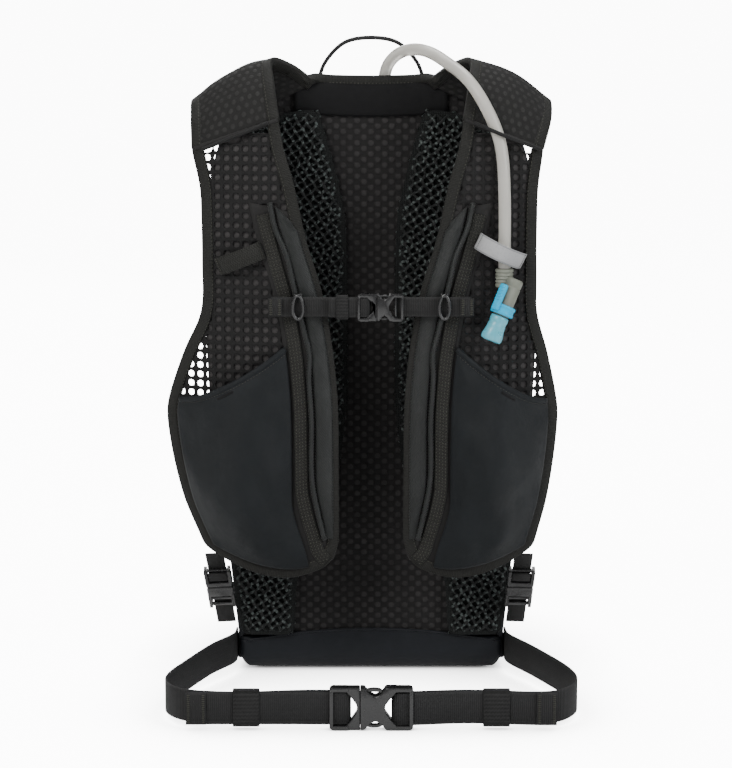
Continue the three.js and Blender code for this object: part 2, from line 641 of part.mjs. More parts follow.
// One side of the chest webbing, from its sewn tab beyond the slider to where it meets the buckle.
function sternumStrap(sign, end) {
  const span = (from, to, wall, tall) => block(
    Math.min(from, to), Math.max(from, to),
    layerOffset - wall / 2, layerOffset + wall / 2, -tall / 2, tall / 2);
  const strip = span(end, sign * tabFrom, webbingWall, sternumWebbing);
  const tab = span(sign * (tabFrom - 1), sign * (tabFrom + tabLength), tabWall, sternumWebbing - 2);
  return carve([strip, tab]);
}
const leftMeets = buckleShift - sternumBuckle.half - sternumRelease - 2 * gap;
const rightMeets = buckleShift + sternumBuckle.half - 2 * sternumBuckle.bar;
add('sternum_webbing_left', sternumStrap(-1, leftMeets), 'webbing', sternum);
add('sternum_webbing_right', sternumStrap(1, rightMeets), 'webbing', sternum);
const chestTail = foldPoints(sternumBuckle, -sternumBuckle.half, -sternumBuckle.half - 22);
add('sternum_tail', strapAlong(chestTail, sternumWebbing, webbingWall, across, 2), 'webbing', atBuckle);
const chestKeeper = keeper(sternumBuckle, -sternumBuckle.half - 16, -sternumBuckle.half - 7);
add('sternum_keeper', chestKeeper, 'webbing', atBuckle);

function sternumSlider() {
  const wide = 7;
  const slotTall = sternumWebbing / Math.cos(railAngle) + wide * Math.sin(railAngle) + 2 * play;
  const tall = slotTall + 3;
  const front = slotY - slotDeep / 2 - sliderWall;
  const back = -harnessReach - wingWall / 2 - 2 * gap;
  const body = plate(roundedRectangle(wide, tall, 2.5), front, back - front, 0.6);
  const slot = block(-wide, wide, slotY - slotDeep / 2, slotY + slotDeep / 2, -slotTall / 2, slotTall / 2);
  const bore = new THREE.CylinderGeometry(railRadius + play, railRadius + play, 2 * tall, 12);
  bore.rotateX(Math.PI / 2).translate(0, railY, 0);
  return carve([body], [slot, bore]);
}
for (const [side, sign] of sides) {
  const frame = frameOf(V(sign * sliderX, 0, sternumHeight), V(1, 0, 0), V(0, 1, 0), V(0, 0, 1));
  frame.rotation.y = sign * railAngle;
  add(`sternum_slider_${side}`, sternumSlider(), 'acetal', frame);
}

// A short strap with a buckle ties each wing's lower corner back to the side of the bag.
const adjusterMiddle = 36;
for (const [side, sign] of sides) {
  const cornerX = sign * (wingOuter(0.24 * packHeight, sign) - 7);
  const from = V(cornerX, wingY(cornerX, 0.22 * packHeight) - 1, 0.222 * packHeight);
  const to = V(sign * (bagHalfWidth(0.08 * packHeight) + 9.5), -5, 0.085 * packHeight);
  const down = to.clone().sub(from).normalize();
  const reach = from.distanceTo(to);
  const wide = V(1, 0, 0).addScaledVector(down, -down.x).normalize();
  const origin = from.clone().addScaledVector(down, adjusterMiddle);
  const frame = frameOf(origin, down, wide.clone().cross(down), wide);
  const b = adjusterBuckle;
  const half = maleHalf(b);
  add(`adjuster_male_${side}`, half.geometry, 'acetal', frame);
  add(`adjuster_female_${side}`, femaleHalf(b, half.face, half.tip), 'acetal', frame);
  const strip = (x0, x1) => block(
    x0, x1, layerOffset - webbingWall / 2, layerOffset + webbingWall / 2, -b.webbing / 2, b.webbing / 2);
  add(`adjuster_strap_${side}`, strip(b.half - 2 * b.bar, reach - adjusterMiddle), 'webbing', frame);
}

// ---------------------------------------------------------------- haul loop

const haulY = boardWall + gap + haulTapeWidth / 2;
const haulFoot = packHeight - 8;
const haulArch = [
  [-1, 0], [-0.97, 0.2], [-0.86, 0.51], [-0.5, 0.94], [0, 1], [0.5, 0.94], [0.86, 0.51], [0.97, 0.2], [1, 0],
];
const haulPath = haulArch.map(([x, h]) => V(
  x * haulSpan / 2, haulY, haulFoot + h * (packHeight - haulFoot + haulRise)));
add('haul_loop', strapAlong(haulPath, haulTapeWidth, haulTapeWall, V(0, 1, 0), 2), 'webbing');

// ---------------------------------------------------------------- reservoir and hose

const reservoirHalf = 70;
const reservoirWall = 26;
const reservoirFront = boardWall + 5;
const reservoirFoot = 0.13 * packHeight;
const reservoirTop = 0.85 * packHeight;
const reservoirShift = -7;
const reservoirTall = reservoirTop - reservoirFoot;
const bladderShape = roundedRectangle(2 * reservoirHalf, reservoirTall, 22);
const bladder = plate(bladderShape, reservoirFront, reservoirWall, 6);
bladder.translate(reservoirShift, 0, (reservoirTop + reservoirFoot) / 2);
add('reservoir', bladder, 'film');
const slideTall = 12;
add('reservoir_slide_closure', block(
  reservoirShift - reservoirHalf, reservoirShift + reservoirHalf - 12,
  reservoirFront + 7, reservoirFront + 18,
  reservoirTop + gap, reservoirTop + gap + slideTall), 'acetal');
const portX = reservoirShift + reservoirHalf + gap + 9;
const portY = reservoirFront + reservoirWall / 2;
const portTop = reservoirFoot + 26;
const hoseBack = boardWall + 2 * gap + hoseRadius;
const port = new THREE.CylinderGeometry(8.5, 8.5, 16, 12).rotateX(Math.PI / 2);
add('reservoir_port', port.translate(portX, portY, portTop - 8), 'acetal');
const divider = (u, v) => {
  const z = lerp(shellBottom + 4, 0.915 * packHeight, v);
  const flat = Math.min(bagHalfWidth(z) - 14, 0.8 * halfWidth);
  return V(lerp(-flat, flat, u), reservoirFront + reservoirWall + 6, z);
};
add('reservoir_sleeve', bentSheet(divider, 1, 6, 1.2), 'packFabric');

const exitX = 10;
const exitZ = packHeight - 4;
const innerRoute = [
  V(portX, portY, portTop + gap), V(portX, portY, portTop + 30), V(portX, portY, 0.5 * packHeight),
  V(portX - 1, portY - 1, 0.77 * packHeight), V(portX - 6, portY - 4, 0.871 * packHeight),
  V(portX / 2 + exitX / 2, hoseBack + 3.5, 0.929 * packHeight), V(exitX + 9, hoseBack + 1, exitZ - 17),
  V(exitX, hoseBack, exitZ - 9), V(exitX, hoseBack, exitZ - gap),
];
add('hose_inner', tube(innerRoute, hoseRadius, 4, 20), 'hose');
// Over the right shoulder and down the wing, as shares of half the width, the reach and the height.
const hoseTable = [
  [0.099, -0.086, 1.023], [0.168, 0.04, 1.041], [0.26, 0.184, 1.048], [0.359, 0.342, 1.042],
  [0.45, 0.513, 1.026], [0.542, 0.73, 1.008], [0.618, 0.875, 0.982], [0.683, 0.928, 0.95],
  [0.733, 0.961, 0.919], [0.762, 0.987, 0.883], [0.771, 1.007, 0.844], [0.776, 1.026, 0.802],
  [0.776, 1.034, 0.754], [0.776, 1.042, 0.706],
];
const hoseRoute = [V(exitX, hoseBack, exitZ), V(exitX, hoseBack, exitZ + 7)];
for (const [x, y, z] of hoseTable) hoseRoute.push(V(x * halfWidth, -y * harnessReach, z * packHeight));

add('hose', tube(hoseRoute, hoseRadius, 5, 28), 'hose');

// ---------------------------------------------------------------- bite valve

const hoseEnd = hoseRoute[hoseRoute.length - 1].clone().sub(V(0, 0, gap));
const valveCentre = hoseEnd.clone().add(V(3.4, -5.8, -19.5));
const valveUp = V(0.38, 0.15, 0.91).normalize(); // from the mouthpiece up to the cap
const valveSide = V(0, 1, 0).cross(valveUp).normalize();
const valveFrame = frameOf(valveCentre, valveSide, valveUp.clone().cross(valveSide), valveUp);
const barrelRadius = 6.6;
const barrelTop = 13;
const barrelFoot = -17;
const barrelSides = 14;

function upright(topRadius, footRadius, foot, top, sideCount) {
  const turned = new THREE.CylinderGeometry(topRadius, footRadius, top - foot, sideCount);
  return turned.rotateX(Math.PI / 2).translate(0, 0, (top + foot) / 2);
}
const swivel = upright(barrelRadius, barrelRadius + 0.4, -14, 0, 12);
swivel.translate(hoseEnd.x, hoseEnd.y, hoseEnd.z);
const barrel = upright(barrelRadius, barrelRadius, barrelFoot, barrelTop, barrelSides);
valveFrame.updateMatrixWorld(true);
barrel.applyMatrix4(valveFrame.matrixWorld);
add('valve_body', carve([swivel, barrel]), 'valve');

const ringWall = 2;
const ringFrom = barrelFoot + 0.5;
const ringTo = ringFrom + 8;
const ringSides = 16;
const boreRadius = barrelRadius + play;
const ring = upright(boreRadius + ringWall, boreRadius + ringWall, ringFrom, ringTo, ringSides);
const ringBore = upright(boreRadius, boreRadius, 2 * barrelFoot, 2 * barrelTop, ringSides);
const lever = block(-3, 3, -barrelRadius - 5.5, -barrelRadius - 1.2, ringFrom, barrelTop - 8);
add('valve_lever', carve([ring, lever], [ringBore]), 'lever', valveFrame);
const mouthTop = barrelFoot - 0.5;
const mouthpiece = new THREE.LatheGeometry([
  [0, mouthTop], [6.6, mouthTop], [7.2, mouthTop - 5], [6.8, mouthTop - 9], [8.2, mouthTop - 15],
  [8.4, mouthTop - 19], [7, mouthTop - 20.5], [0, mouthTop - 20.5],
].reverse().map(([r, z]) => new THREE.Vector2(r, z)), 14).rotateX(Math.PI / 2);
add('mouthpiece', mouthpiece, 'silicone', valveFrame);

// ---------------------------------------------------------------- front pocket and zip sliders

const pocketCrown = 0.6 * packHeight;
const pocketFoot = 0.16 * packHeight;
const pocketTurn = THREE.MathUtils.degToRad(36);
const stashBulge = 16;
const stash = (u, v) => {
  const turn = lerp(-pocketTurn, pocketTurn, u);
  const z = lerp(pocketFoot, pocketCrown, v);
  const inside = (t) => Math.sin(Math.PI * THREE.MathUtils.clamp(t, 0, 1) ** 1.15);
  return shellPoint(turn, z, -(gap + shellWall / 2 + stashBulge * inside(u) * inside(v)));
};
add('front_pocket', bentSheet(stash, 8, 6, shellWall), 'packFabric');
const stashZipZ = pocketCrown + zipWidth / 2 + 2;
const stashZip = (u, v) => shellPoint(
  lerp(-pocketTurn, pocketTurn, v), stashZipZ + (0.5 - u) * zipWidth, -(zipWall / 2 + gap));
add('front_pocket_zip_chain', bentSheet(stashZip, 1, 10, zipWall), 'zip');

const pinRadius = 0.8;
const pullPlay = 0.35;
const sliderTop = 3; // thickness of a zip slider's body
const pinHeight = sliderTop + 1.7;
const pinUp = 2.6; // the pin is nearer the slider's upper end

function zipSlider() {
  const body = plate(roundedRectangle(8, 11, 2.5), -sliderTop, sliderTop, 0.5);
  const ears = [-1, 1].map((s) => block(
    Math.min(s * 2.7, s * 3.7), Math.max(s * 2.7, s * 3.7),
    -pinHeight - 1.2, -sliderTop + 0.3, pinUp - 1.3, pinUp + 1.3));
  const pin = new THREE.CylinderGeometry(pinRadius, pinRadius, 6.4, 8).rotateZ(Math.PI / 2);
  pin.translate(0, -pinHeight, pinUp);
  return carve([body, ...ears, pin]);
}

function zipPull() {
  const onPin = (radius, length) => {
    const turned = new THREE.CylinderGeometry(radius, radius, length, 10).rotateZ(Math.PI / 2);
    return turned.translate(0, -pinHeight, pinUp);
  };
  const tab = plate(roundedRectangle(6, 30, 2.6), -pinHeight - 1, 2, 0.5).translate(0, 0, pinUp - 15.8);
  return carve([onPin(1.6, 4.8), tab], [onPin(pinRadius + pullPlay, 9)]);
}

// Each slider's frame has its -Y axis pointing away from the bag and its Z axis along the zip.
function sliderFrame(turn, z, alongZip, chainRise) {
  const outward = shellNormal(turn, z);
  outward.addScaledVector(alongZip, -outward.dot(alongZip)).normalize();
  const origin = shellPoint(turn, z, 0).addScaledVector(outward, chainRise + zipWall + 2 * play);
  const inward = outward.clone().negate();
  return frameOf(origin, inward.clone().cross(alongZip), inward, alongZip);
}
const sideRunFoot = shellPoint(zipTurn, 0.24 * packHeight, 0);
const sideRun = shellPoint(zipTurn, 0.5 * packHeight, 0).sub(sideRunFoot).normalize();
const places = [
  ['main_zip', sliderFrame(zipTurn, 0.3 * packHeight, sideRun, zipRise)],
  ['front_pocket_zip', sliderFrame(0.145, stashZipZ, V(-1, 0, 0), gap)],
];
for (const [name, frame] of places) {
  add(`${name}_slider`, zipSlider(), 'acetal', frame);
  add(`${name}_pull`, zipPull(), 'webbing', frame);
}

// ---------------------------------------------------------------- the origin, under the base's middle

const baseMiddle = bagDepth(baseHeight) / 2;
pack.position.y = -baseMiddle;

export default pack;
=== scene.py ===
import math

import bmesh
import bpy
from bpy.props import FloatProperty, FloatVectorProperty, PointerProperty
from mathutils import Matrix, Vector, noise


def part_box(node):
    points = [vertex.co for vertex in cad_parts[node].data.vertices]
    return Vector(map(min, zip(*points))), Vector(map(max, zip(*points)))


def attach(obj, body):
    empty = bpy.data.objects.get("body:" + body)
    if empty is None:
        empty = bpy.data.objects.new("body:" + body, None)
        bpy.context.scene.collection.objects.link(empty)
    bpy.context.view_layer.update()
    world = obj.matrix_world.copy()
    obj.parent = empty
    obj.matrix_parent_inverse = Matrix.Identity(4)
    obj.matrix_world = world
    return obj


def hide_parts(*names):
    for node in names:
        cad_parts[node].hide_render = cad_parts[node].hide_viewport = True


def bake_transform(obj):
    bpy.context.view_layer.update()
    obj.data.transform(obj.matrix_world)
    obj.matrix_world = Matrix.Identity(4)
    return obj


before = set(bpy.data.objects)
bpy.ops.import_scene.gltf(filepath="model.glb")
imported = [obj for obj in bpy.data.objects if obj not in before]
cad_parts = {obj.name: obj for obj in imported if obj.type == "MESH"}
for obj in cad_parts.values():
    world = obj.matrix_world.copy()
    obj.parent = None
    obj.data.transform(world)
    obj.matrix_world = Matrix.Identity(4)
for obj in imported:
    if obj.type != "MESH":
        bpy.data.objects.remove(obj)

bl_info = {
    "name": "Hydration pack",
    "version": (1, 0, 0),
    "blender": (4, 5, 0),
    "location": "3D View > Sidebar > Pack",
    "description": "Builds a vest-style hydration pack with its harness, straps, buckles and drinking hose",
    "category": "Add Mesh",
}

# Sizes below are in millimetres from the front face of the back panel, whose place the frame gives.
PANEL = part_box("back_panel")[1].y * 1000 - 4
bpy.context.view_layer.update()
HEIGHT = 480
HALF = 131
SHELL_TOP = 0.988 * HEIGHT
STERNUM_HEIGHT = 310
SLIT = 22
DEPTH = 150 - SLIT
REACH = 76
SIDES = (("left", -1), ("right", 1))


def at(x, y, z):
    """A place in the frame, in metres."""
    return Vector((x, y + PANEL, z)) / 1000


def lerp(a, b, t):
    return a + (b - a) * t


def clamp(t, low=0.0, high=1.0):
    return min(max(t, low), high)


def smoothstep(t, low, high):
    t = clamp((t - low) / (high - low))
    return t * t * (3 - 2 * t)


def profile(knots, across=1.0, up=1.0):
    """A smooth curve through knots, as a function."""
    knots = [(x * up, y * across) for x, y in knots]

    def slope(i):
        a, b = knots[max(i - 1, 0)], knots[min(i + 1, len(knots) - 1)]
        return (b[1] - a[1]) / (b[0] - a[0])

    def value(x):
        i = 0
        while i < len(knots) - 2 and x > knots[i + 1][0]:
            i += 1
        (x0, y0), (x1, y1) = knots[i], knots[i + 1]
        span = x1 - x0
        t = clamp((x - x0) / span)
        bend = slope(i) * span * t * (1 - t) ** 2 - slope(i + 1) * span * t * t * (1 - t)
        return y0 + (y1 - y0) * t * t * (3 - 2 * t) + bend

    return value


def along(points, t):
    """A point of the centripetal curve through points, at t from 0 to 1."""
    last = len(points) - 1
    i = min(int(clamp(t) * last), last - 1)
    w = clamp(t) * last - i
    b, c = points[i], points[i + 1]
    a = points[i - 1] if i else 2 * b - c
    d = points[i + 2] if i + 2 <= last else 2 * c - b
    ab, bc, cd = ((q - p).length ** 0.5 for p, q in ((a, b), (b, c), (c, d)))
    start = ((b - a) / ab - (c - a) / (ab + bc) + (c - b) / bc) * bc
    end = ((c - b) / bc - (d - b) / (bc + cd) + (d - c) / cd) * bc
    return b + start * w + (3 * (c - b) - 2 * start - end) * w * w + (2 * (b - c) + start + end) * w ** 3


def route(points, step):
    """The curve through points, at even steps, in metres."""
    fine = [along(points, i / 400) for i in range(401)]
    lengths = [0.0]
    for a, b in zip(fine, fine[1:]):
        lengths.append(lengths[-1] + (b - a).length)
    count = max(round(lengths[-1] / step), 2)
    result, j = [], 0
    for i in range(count + 1):
        goal = lengths[-1] * i / count
        while j < 399 and lengths[j + 1] < goal:
            j += 1
        share = clamp((goal - lengths[j]) / max(lengths[j + 1] - lengths[j], 1e-9))
        result.append(fine[j].lerp(fine[j + 1], share))
    return result


def length_of(points):
    return sum((b - a).length for a, b in zip(points, points[1:]))


# ---------------------------------------------------------------- the pack's own surfaces

bag_half_width = profile([
    (0, 0.775), (0.058, 0.81), (0.19, 0.863), (0.31, 0.924), (0.52, 0.985), (0.69, 1),
    (0.83, 0.965), (0.917, 0.87), (0.962, 0.72), (0.988, 0.5)], HALF, HEIGHT)
bag_depth_shape = profile([
    (0, 0.84), (0.058, 0.89), (0.19, 0.97), (0.31, 1), (0.5, 0.96), (0.69, 0.86),
    (0.83, 0.69), (0.917, 0.47), (0.962, 0.22), (0.988, 0)], DEPTH, HEIGHT)
wing_inner = profile([
    (0.19, 0.2), (0.26, 0.195), (0.36, 0.195), (0.49, 0.2), (0.59, 0.237), (0.67, 0.294),
    (0.75, 0.382), (0.844, 0.458), (0.892, 0.511), (0.9375, 0.542)], HALF, HEIGHT)
wing_outer_shape = profile([
    (0.19, 0.96), (0.242, 0.995), (0.2875, 1.065), (0.32, 1.115), (0.383, 1.176), (0.448, 1.214),
    (0.481, 1.21), (0.565, 1.107), (0.631, 1.0), (0.71, 0.99), (0.785, 0.992), (0.833, 1.0),
    (0.8875, 1.046)], 1, HEIGHT)
reach_at = profile([
    (0.19, 0.87), (0.25, 0.92), (0.35, 0.975), (0.46, 1), (0.55, 1), (0.65, 1), (0.75, 1), (0.83, 0.99),
    (0.89, 0.955), (0.9375, 0.87), (0.98, 0.75)], REACH, HEIGHT)
wing_foot = profile([
    (0, 0.254), (0.06, 0.223), (0.2, 0.206), (0.4, 0.196), (0.65, 0.204), (0.87, 0.225), (1, 0.244)], HEIGHT)
pocket_top = profile([(0, 0.58), (0.72, 0.5), (1, 0.486)], HEIGHT)


def rounded(s):
    return math.copysign(abs(s) ** (2 / 4.5), s)


def shell_point(turn, z, out=0.0):
    """The bag's shell, turned -pi/2 at its left seam to pi/2 at its right one."""
    x = (bag_half_width(z) + out) * rounded(math.sin(turn))
    y = (bag_depth_shape(z) + SLIT + out) * rounded(math.cos(turn))
    return at(x, y, z)


def shell_normal(turn, z):
    aside = shell_point(turn + 0.01, z) - shell_point(turn - 0.01, z)
    up = shell_point(turn, z + 0.5) - shell_point(turn, z - 0.5)
    return up.cross(aside).normalized()


def wing_outer(z, sign):
    flare, trim = (1, 0) if sign < 0 else (0.62, 3.5)
    return HALF * (1 + (wing_outer_shape(z) - 1) * flare) - trim


def wing_y(x, z):
    out = max(abs(x) - 0.42 * HALF, 0) / HALF
    return -reach_at(z) + 51.5 * out * out


def wing_at(x, z, forward=0.0):
    """A point of a wing seen from the front at x, z, and forward of the wing's middle."""
    return at(x, wing_y(x, z) - forward, z)


def wing_normal(x, z):
    aside = wing_at(x + 1, z) - wing_at(x - 1, z)
    up = wing_at(x, z + 1) - wing_at(x, z - 1)
    return aside.cross(up).normalized()


def seam_height(u):
    return lerp(0.938, 0.89, u) * HEIGHT


def wing_place(sign, u, v):
    """The x and z of a wing's place, u from its inner to its outer edge and v from its seam down."""
    z = lerp(seam_height(u), wing_foot(clamp(u)), v)
    return sign * lerp(wing_inner(z), wing_outer(z, sign), u), z


def shoulder_point(sign, u, v):
    rows = [
        ((0.33, -0.04, 0.994), (0.93, -0.04, 0.913)), ((0.46, -0.18, 1.018), (1.015, -0.17, 0.946)),
        ((0.585, -0.42, 1.029), (1.05, -0.38, 0.963)), ((0.577, -0.67, 0.998), (1.05, -0.57, 0.937))]
    points = []
    for inner, outer in rows:
        x, y, z = (lerp(a, b, u) for a, b in zip(inner, outer))
        points.append(at(sign * x * HALF, y * REACH, z * HEIGHT))
    points.append(wing_at(*wing_place(sign, u, 0)) + Vector((0, 0, 0.0008)))
    point = along(points, v)
    point.z += 0.005 * math.sin(math.pi * clamp(u)) * math.sin(math.pi * clamp(v))
    return point


def shoulder_normal(sign, u, v):
    u, v = clamp(u, 0.01, 0.99), clamp(v, 0.01, 0.99)
    aside = shoulder_point(sign, u + 0.01, v) - shoulder_point(sign, u - 0.01, v)
    down = shoulder_point(sign, u, v + 0.01) - shoulder_point(sign, u, v - 0.01)
    return (down.cross(aside) * sign).normalized()


def pocket_place(sign, u, v):
    """The x, z and stand-off of a wing pocket's place."""
    foot_share = lerp(0.3, 0.985, clamp(u))
    z = lerp(pocket_top(clamp(u)), wing_foot(foot_share) + 4, v)
    inner = wing_inner(z) + lerp(0.62, 1, smoothstep(z, 0.2 * HEIGHT, 0.33 * HEIGHT)) * 36
    x = sign * lerp(inner, wing_outer(z, sign) - 2.5, u)
    bulge = 18 * math.sin(math.pi * clamp(u)) * (0.55 + 0.45 * math.sin(math.pi * clamp(v))) * (1 - clamp(v) ** 6)
    return x, z, 3.45 + bulge


# ---------------------------------------------------------------- making pieces

def finish_piece(name, bm, material, body="root", stands_for=(), slot=None, sharp=None):
    """Turns a bmesh into a piece that rides on a body."""
    mesh = bpy.data.meshes.new(name)
    bm.to_mesh(mesh)
    bm.free()
    mesh.shade_smooth()
    if sharp:
        mesh.set_sharp_from_angle(angle=math.radians(sharp))
    piece = bpy.data.objects.new(name, mesh)
    bpy.context.scene.collection.objects.link(piece)
    mesh.materials.append(material.material)
    if body:
        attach(piece, body)
    if stands_for:
        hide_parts(*stands_for)
    slot or material.slot
    return piece


def thicken(piece, wall, level=0):
    """Gives a sheet its wall, then smooths it."""
    solid = piece.modifiers.new("Wall", "SOLIDIFY")
    solid.thickness = wall / 1000
    solid.offset = 0
    if level:
        smooth(piece, level)
    return piece


def smooth(piece, level=1):
    surface = piece.modifiers.new("Smooth", "SUBSURF")
    surface.levels = surface.render_levels = level
    return piece


def sheet_mesh(surface, across, down, size):
    """A grid laid on surface(u, v), with its weave map in millimetres."""
    bm = bmesh.new()
    weave = bm.loops.layers.uv.new("weave")
    bmesh.ops.create_grid(bm, x_segments=across, y_segments=down, size=0.5)
    for face in bm.faces:
        for loop in face.loops:
            loop[weave].uv = ((loop.vert.co.x + 0.5) * size[0], (loop.vert.co.y + 0.5) * size[1])
    for vert in bm.verts:
        vert.co = surface(vert.co.x + 0.5, vert.co.y + 0.5)
    return bm


def tape_section(width, wall):
    """A flat tape's cross-section with soft edges."""
    w, t = width / 2000, wall / 2000
    r = min(t, 0.0006)
    return [(-w + r, -t), (0, -t), (w - r, -t), (w, -t + r), (w, t - r), (w - r, t), (0, t), (-w + r, t),
            (-w, t - r), (-w, -t + r)]


def round_section(radius, count=10):
    return [(radius / 1000 * math.cos(2 * math.pi * i / count), radius / 1000 * math.sin(2 * math.pi * i / count))
            for i in range(count)]


def sweep_mesh(points, normals, section, bm=None):
    """A section carried along points; its width lies across them and its height along the normals."""
    start = set()
    if bm is None:
        bm = bmesh.new()
        weave = bm.loops.layers.uv.new("weave")
    else:
        weave = bm.loops.layers.uv.active
        start = set(bm.verts)
    if isinstance(normals, Vector):
        normals = [normals] * len(points)
    columns, last = len(section), len(points) - 1
    distance = [0.0]
    for a, b in zip(points, points[1:]):
        distance.append(distance[-1] + (b - a).length)
    made = bmesh.ops.create_grid(bm, x_segments=columns, y_segments=last, size=0.5)["verts"]
    where = {v: (round((v.co.x + 0.5) * columns), round((v.co.y + 0.5) * last)) for v in made}
    for face in {f for v in made for f in v.link_faces}:
        for loop in face.loops:
            i, j = where[loop.vert]
            loop[weave].uv = (section[i % columns][0] * 1000, distance[j] * 1000)
    for vert, (i, j) in where.items():
        tangent = (points[min(j + 1, last)] - points[max(j - 1, 0)]).normalized()
        side = normals[j].cross(tangent).normalized()
        high = tangent.cross(side)
        a, b = section[i % columns]
        vert.co = points[j] + side * a + high * b
    made = [v for v in bm.verts if v not in start]
    bmesh.ops.remove_doubles(bm, verts=made, dist=1e-7)
    made = [v for v in bm.verts if v not in start]
    rims = {e for v in made for e in v.link_edges if e.is_boundary}
    bmesh.ops.holes_fill(bm, edges=list(rims), sides=0)
    faces = list({f for v in made for f in v.link_faces})
    bmesh.ops.recalc_face_normals(bm, faces=faces)
    return bm


def stitch_mesh(bm, points, normals, pitch=2.7, length=1.9, radius=0.3):
    """A row of stitches along points, standing just proud of the cloth."""
    if bm is None:
        bm = bmesh.new()
        bm.loops.layers.uv.new("weave")
    if isinstance(normals, Vector):
        normals = [normals] * len(points)
    travelled, due = 0.0, 0.0
    for (a, b), normal in zip(zip(points, points[1:]), normals):
        step = (b - a).length * 1000
        while step and due <= travelled + step:
            place = a.lerp(b, (due - travelled) / step)
            tangent = (b - a).normalized()
            side = normal.cross(tangent).normalized()
            basis = Matrix((tangent * length / 2000, side * radius / 1000, tangent.cross(side) * radius * 0.7 / 1000))
            matrix = Matrix.Translation(place) @ basis.transposed().to_4x4()
            bmesh.ops.create_icosphere(bm, subdivisions=1, radius=1, matrix=matrix)
            due += pitch
        travelled += step
    return bm


def softened(node, material, body, edge=0.5, name=None, sharp=40, slot=None):
    """A moulded part: the frame's own shape with rounded edges."""
    bm = bmesh.new()
    bm.from_mesh(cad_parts[node].data)
    bmesh.ops.remove_doubles(bm, verts=bm.verts, dist=2e-5)
    bmesh.ops.dissolve_limit(bm, angle_limit=math.radians(2), verts=bm.verts, edges=bm.edges,
                             use_dissolve_boundaries=False)
    keen = [e for e in bm.edges if len(e.link_faces) == 2 and e.calc_face_angle(0) > math.radians(28)]
    bmesh.ops.bevel(bm, geom=keen, offset=edge / 1000, offset_type="OFFSET", segments=2, profile=0.5,
                    affect="EDGES", clamp_overlap=True, material=-1, loop_slide=True)
    bmesh.ops.triangulate(bm, faces=[f for f in bm.faces if len(f.verts) > 4])
    weave = bm.loops.layers.uv.new("weave")
    for face in bm.faces:
        for loop in face.loops:
            loop[weave].uv = (loop.vert.co.x * 1000, loop.vert.co.z * 1000)
    return finish_piece(name or node + "_moulding", bm, material, body, (node,), slot, sharp)


def lattice_mesh(low, high, pitch, web, inside, place):
    """A net of holes over a flat area, kept where inside(x, z) holds, then laid with place(x, z)."""
    middle = ((low[0] + high[0]) / 2, (low[1] + high[1]) / 2)
    reach = max(high[0] - low[0], high[1] - low[1])
    count = math.ceil(reach / pitch) + 1
    bm = bmesh.new()
    weave = bm.loops.layers.uv.new("weave")
    bmesh.ops.create_grid(bm, x_segments=count, y_segments=count, size=count * pitch / 2)
    bmesh.ops.translate(bm, verts=bm.verts, vec=(middle[0], middle[1], 0))
    outside = [f for f in bm.faces if not inside(*f.calc_center_median().xy)]
    bmesh.ops.delete(bm, geom=outside, context="FACES")
    cells = list(bm.faces)
    bmesh.ops.inset_individual(bm, faces=cells, thickness=web / 2, use_even_offset=True)
    bmesh.ops.delete(bm, geom=cells, context="FACES")
    for face in bm.faces:
        for loop in face.loops:
            loop[weave].uv = loop.vert.co.xy
    for vert in bm.verts:
        vert.co = place(vert.co.x, vert.co.y)
    return bm


# ---------------------------------------------------------------- finishes

class Value:
    """A shader socket that Python arithmetic works on."""

    def __init__(self, finish, socket):
        self.finish, self.socket = finish, socket

    def math(self, operation, *others, first=None):
        values = [self if first is None else first, *others]
        node = self.finish.node("ShaderNodeMath", {"operation": operation}, dict(enumerate(values)))
        return Value(self.finish, node.outputs[0])

    def __add__(self, other):
        return self.math("ADD", other)

    def __radd__(self, other):
        return self.math("ADD", other)

    def __sub__(self, other):
        return self.math("SUBTRACT", other)

    def __rsub__(self, other):
        return self.math("SUBTRACT", self, first=other)

    def __mul__(self, other):
        return self.math("MULTIPLY", other)

    def __rmul__(self, other):
        return self.math("MULTIPLY", other)

    def __truediv__(self, other):
        return self.math("DIVIDE", other)

    def __rtruediv__(self, other):
        return self.math("DIVIDE", self, first=other)

    def __pow__(self, other):
        return self.math("POWER", other)

    def wave(self):
        return self.math("SINE")

    def size(self):
        return self.math("ABSOLUTE")

    def part(self):
        return self.math("FRACT")

    def whole(self):
        return self.math("FLOOR")

    def above(self, low, high):
        """0 below low, 1 above high and smooth between them."""
        node = self.finish.node(
            "ShaderNodeMapRange", {"interpolation_type": "SMOOTHSTEP"}, {0: self, 1: low, 2: high, 3: 0.0, 4: 1.0})
        return Value(self.finish, node.outputs[0])


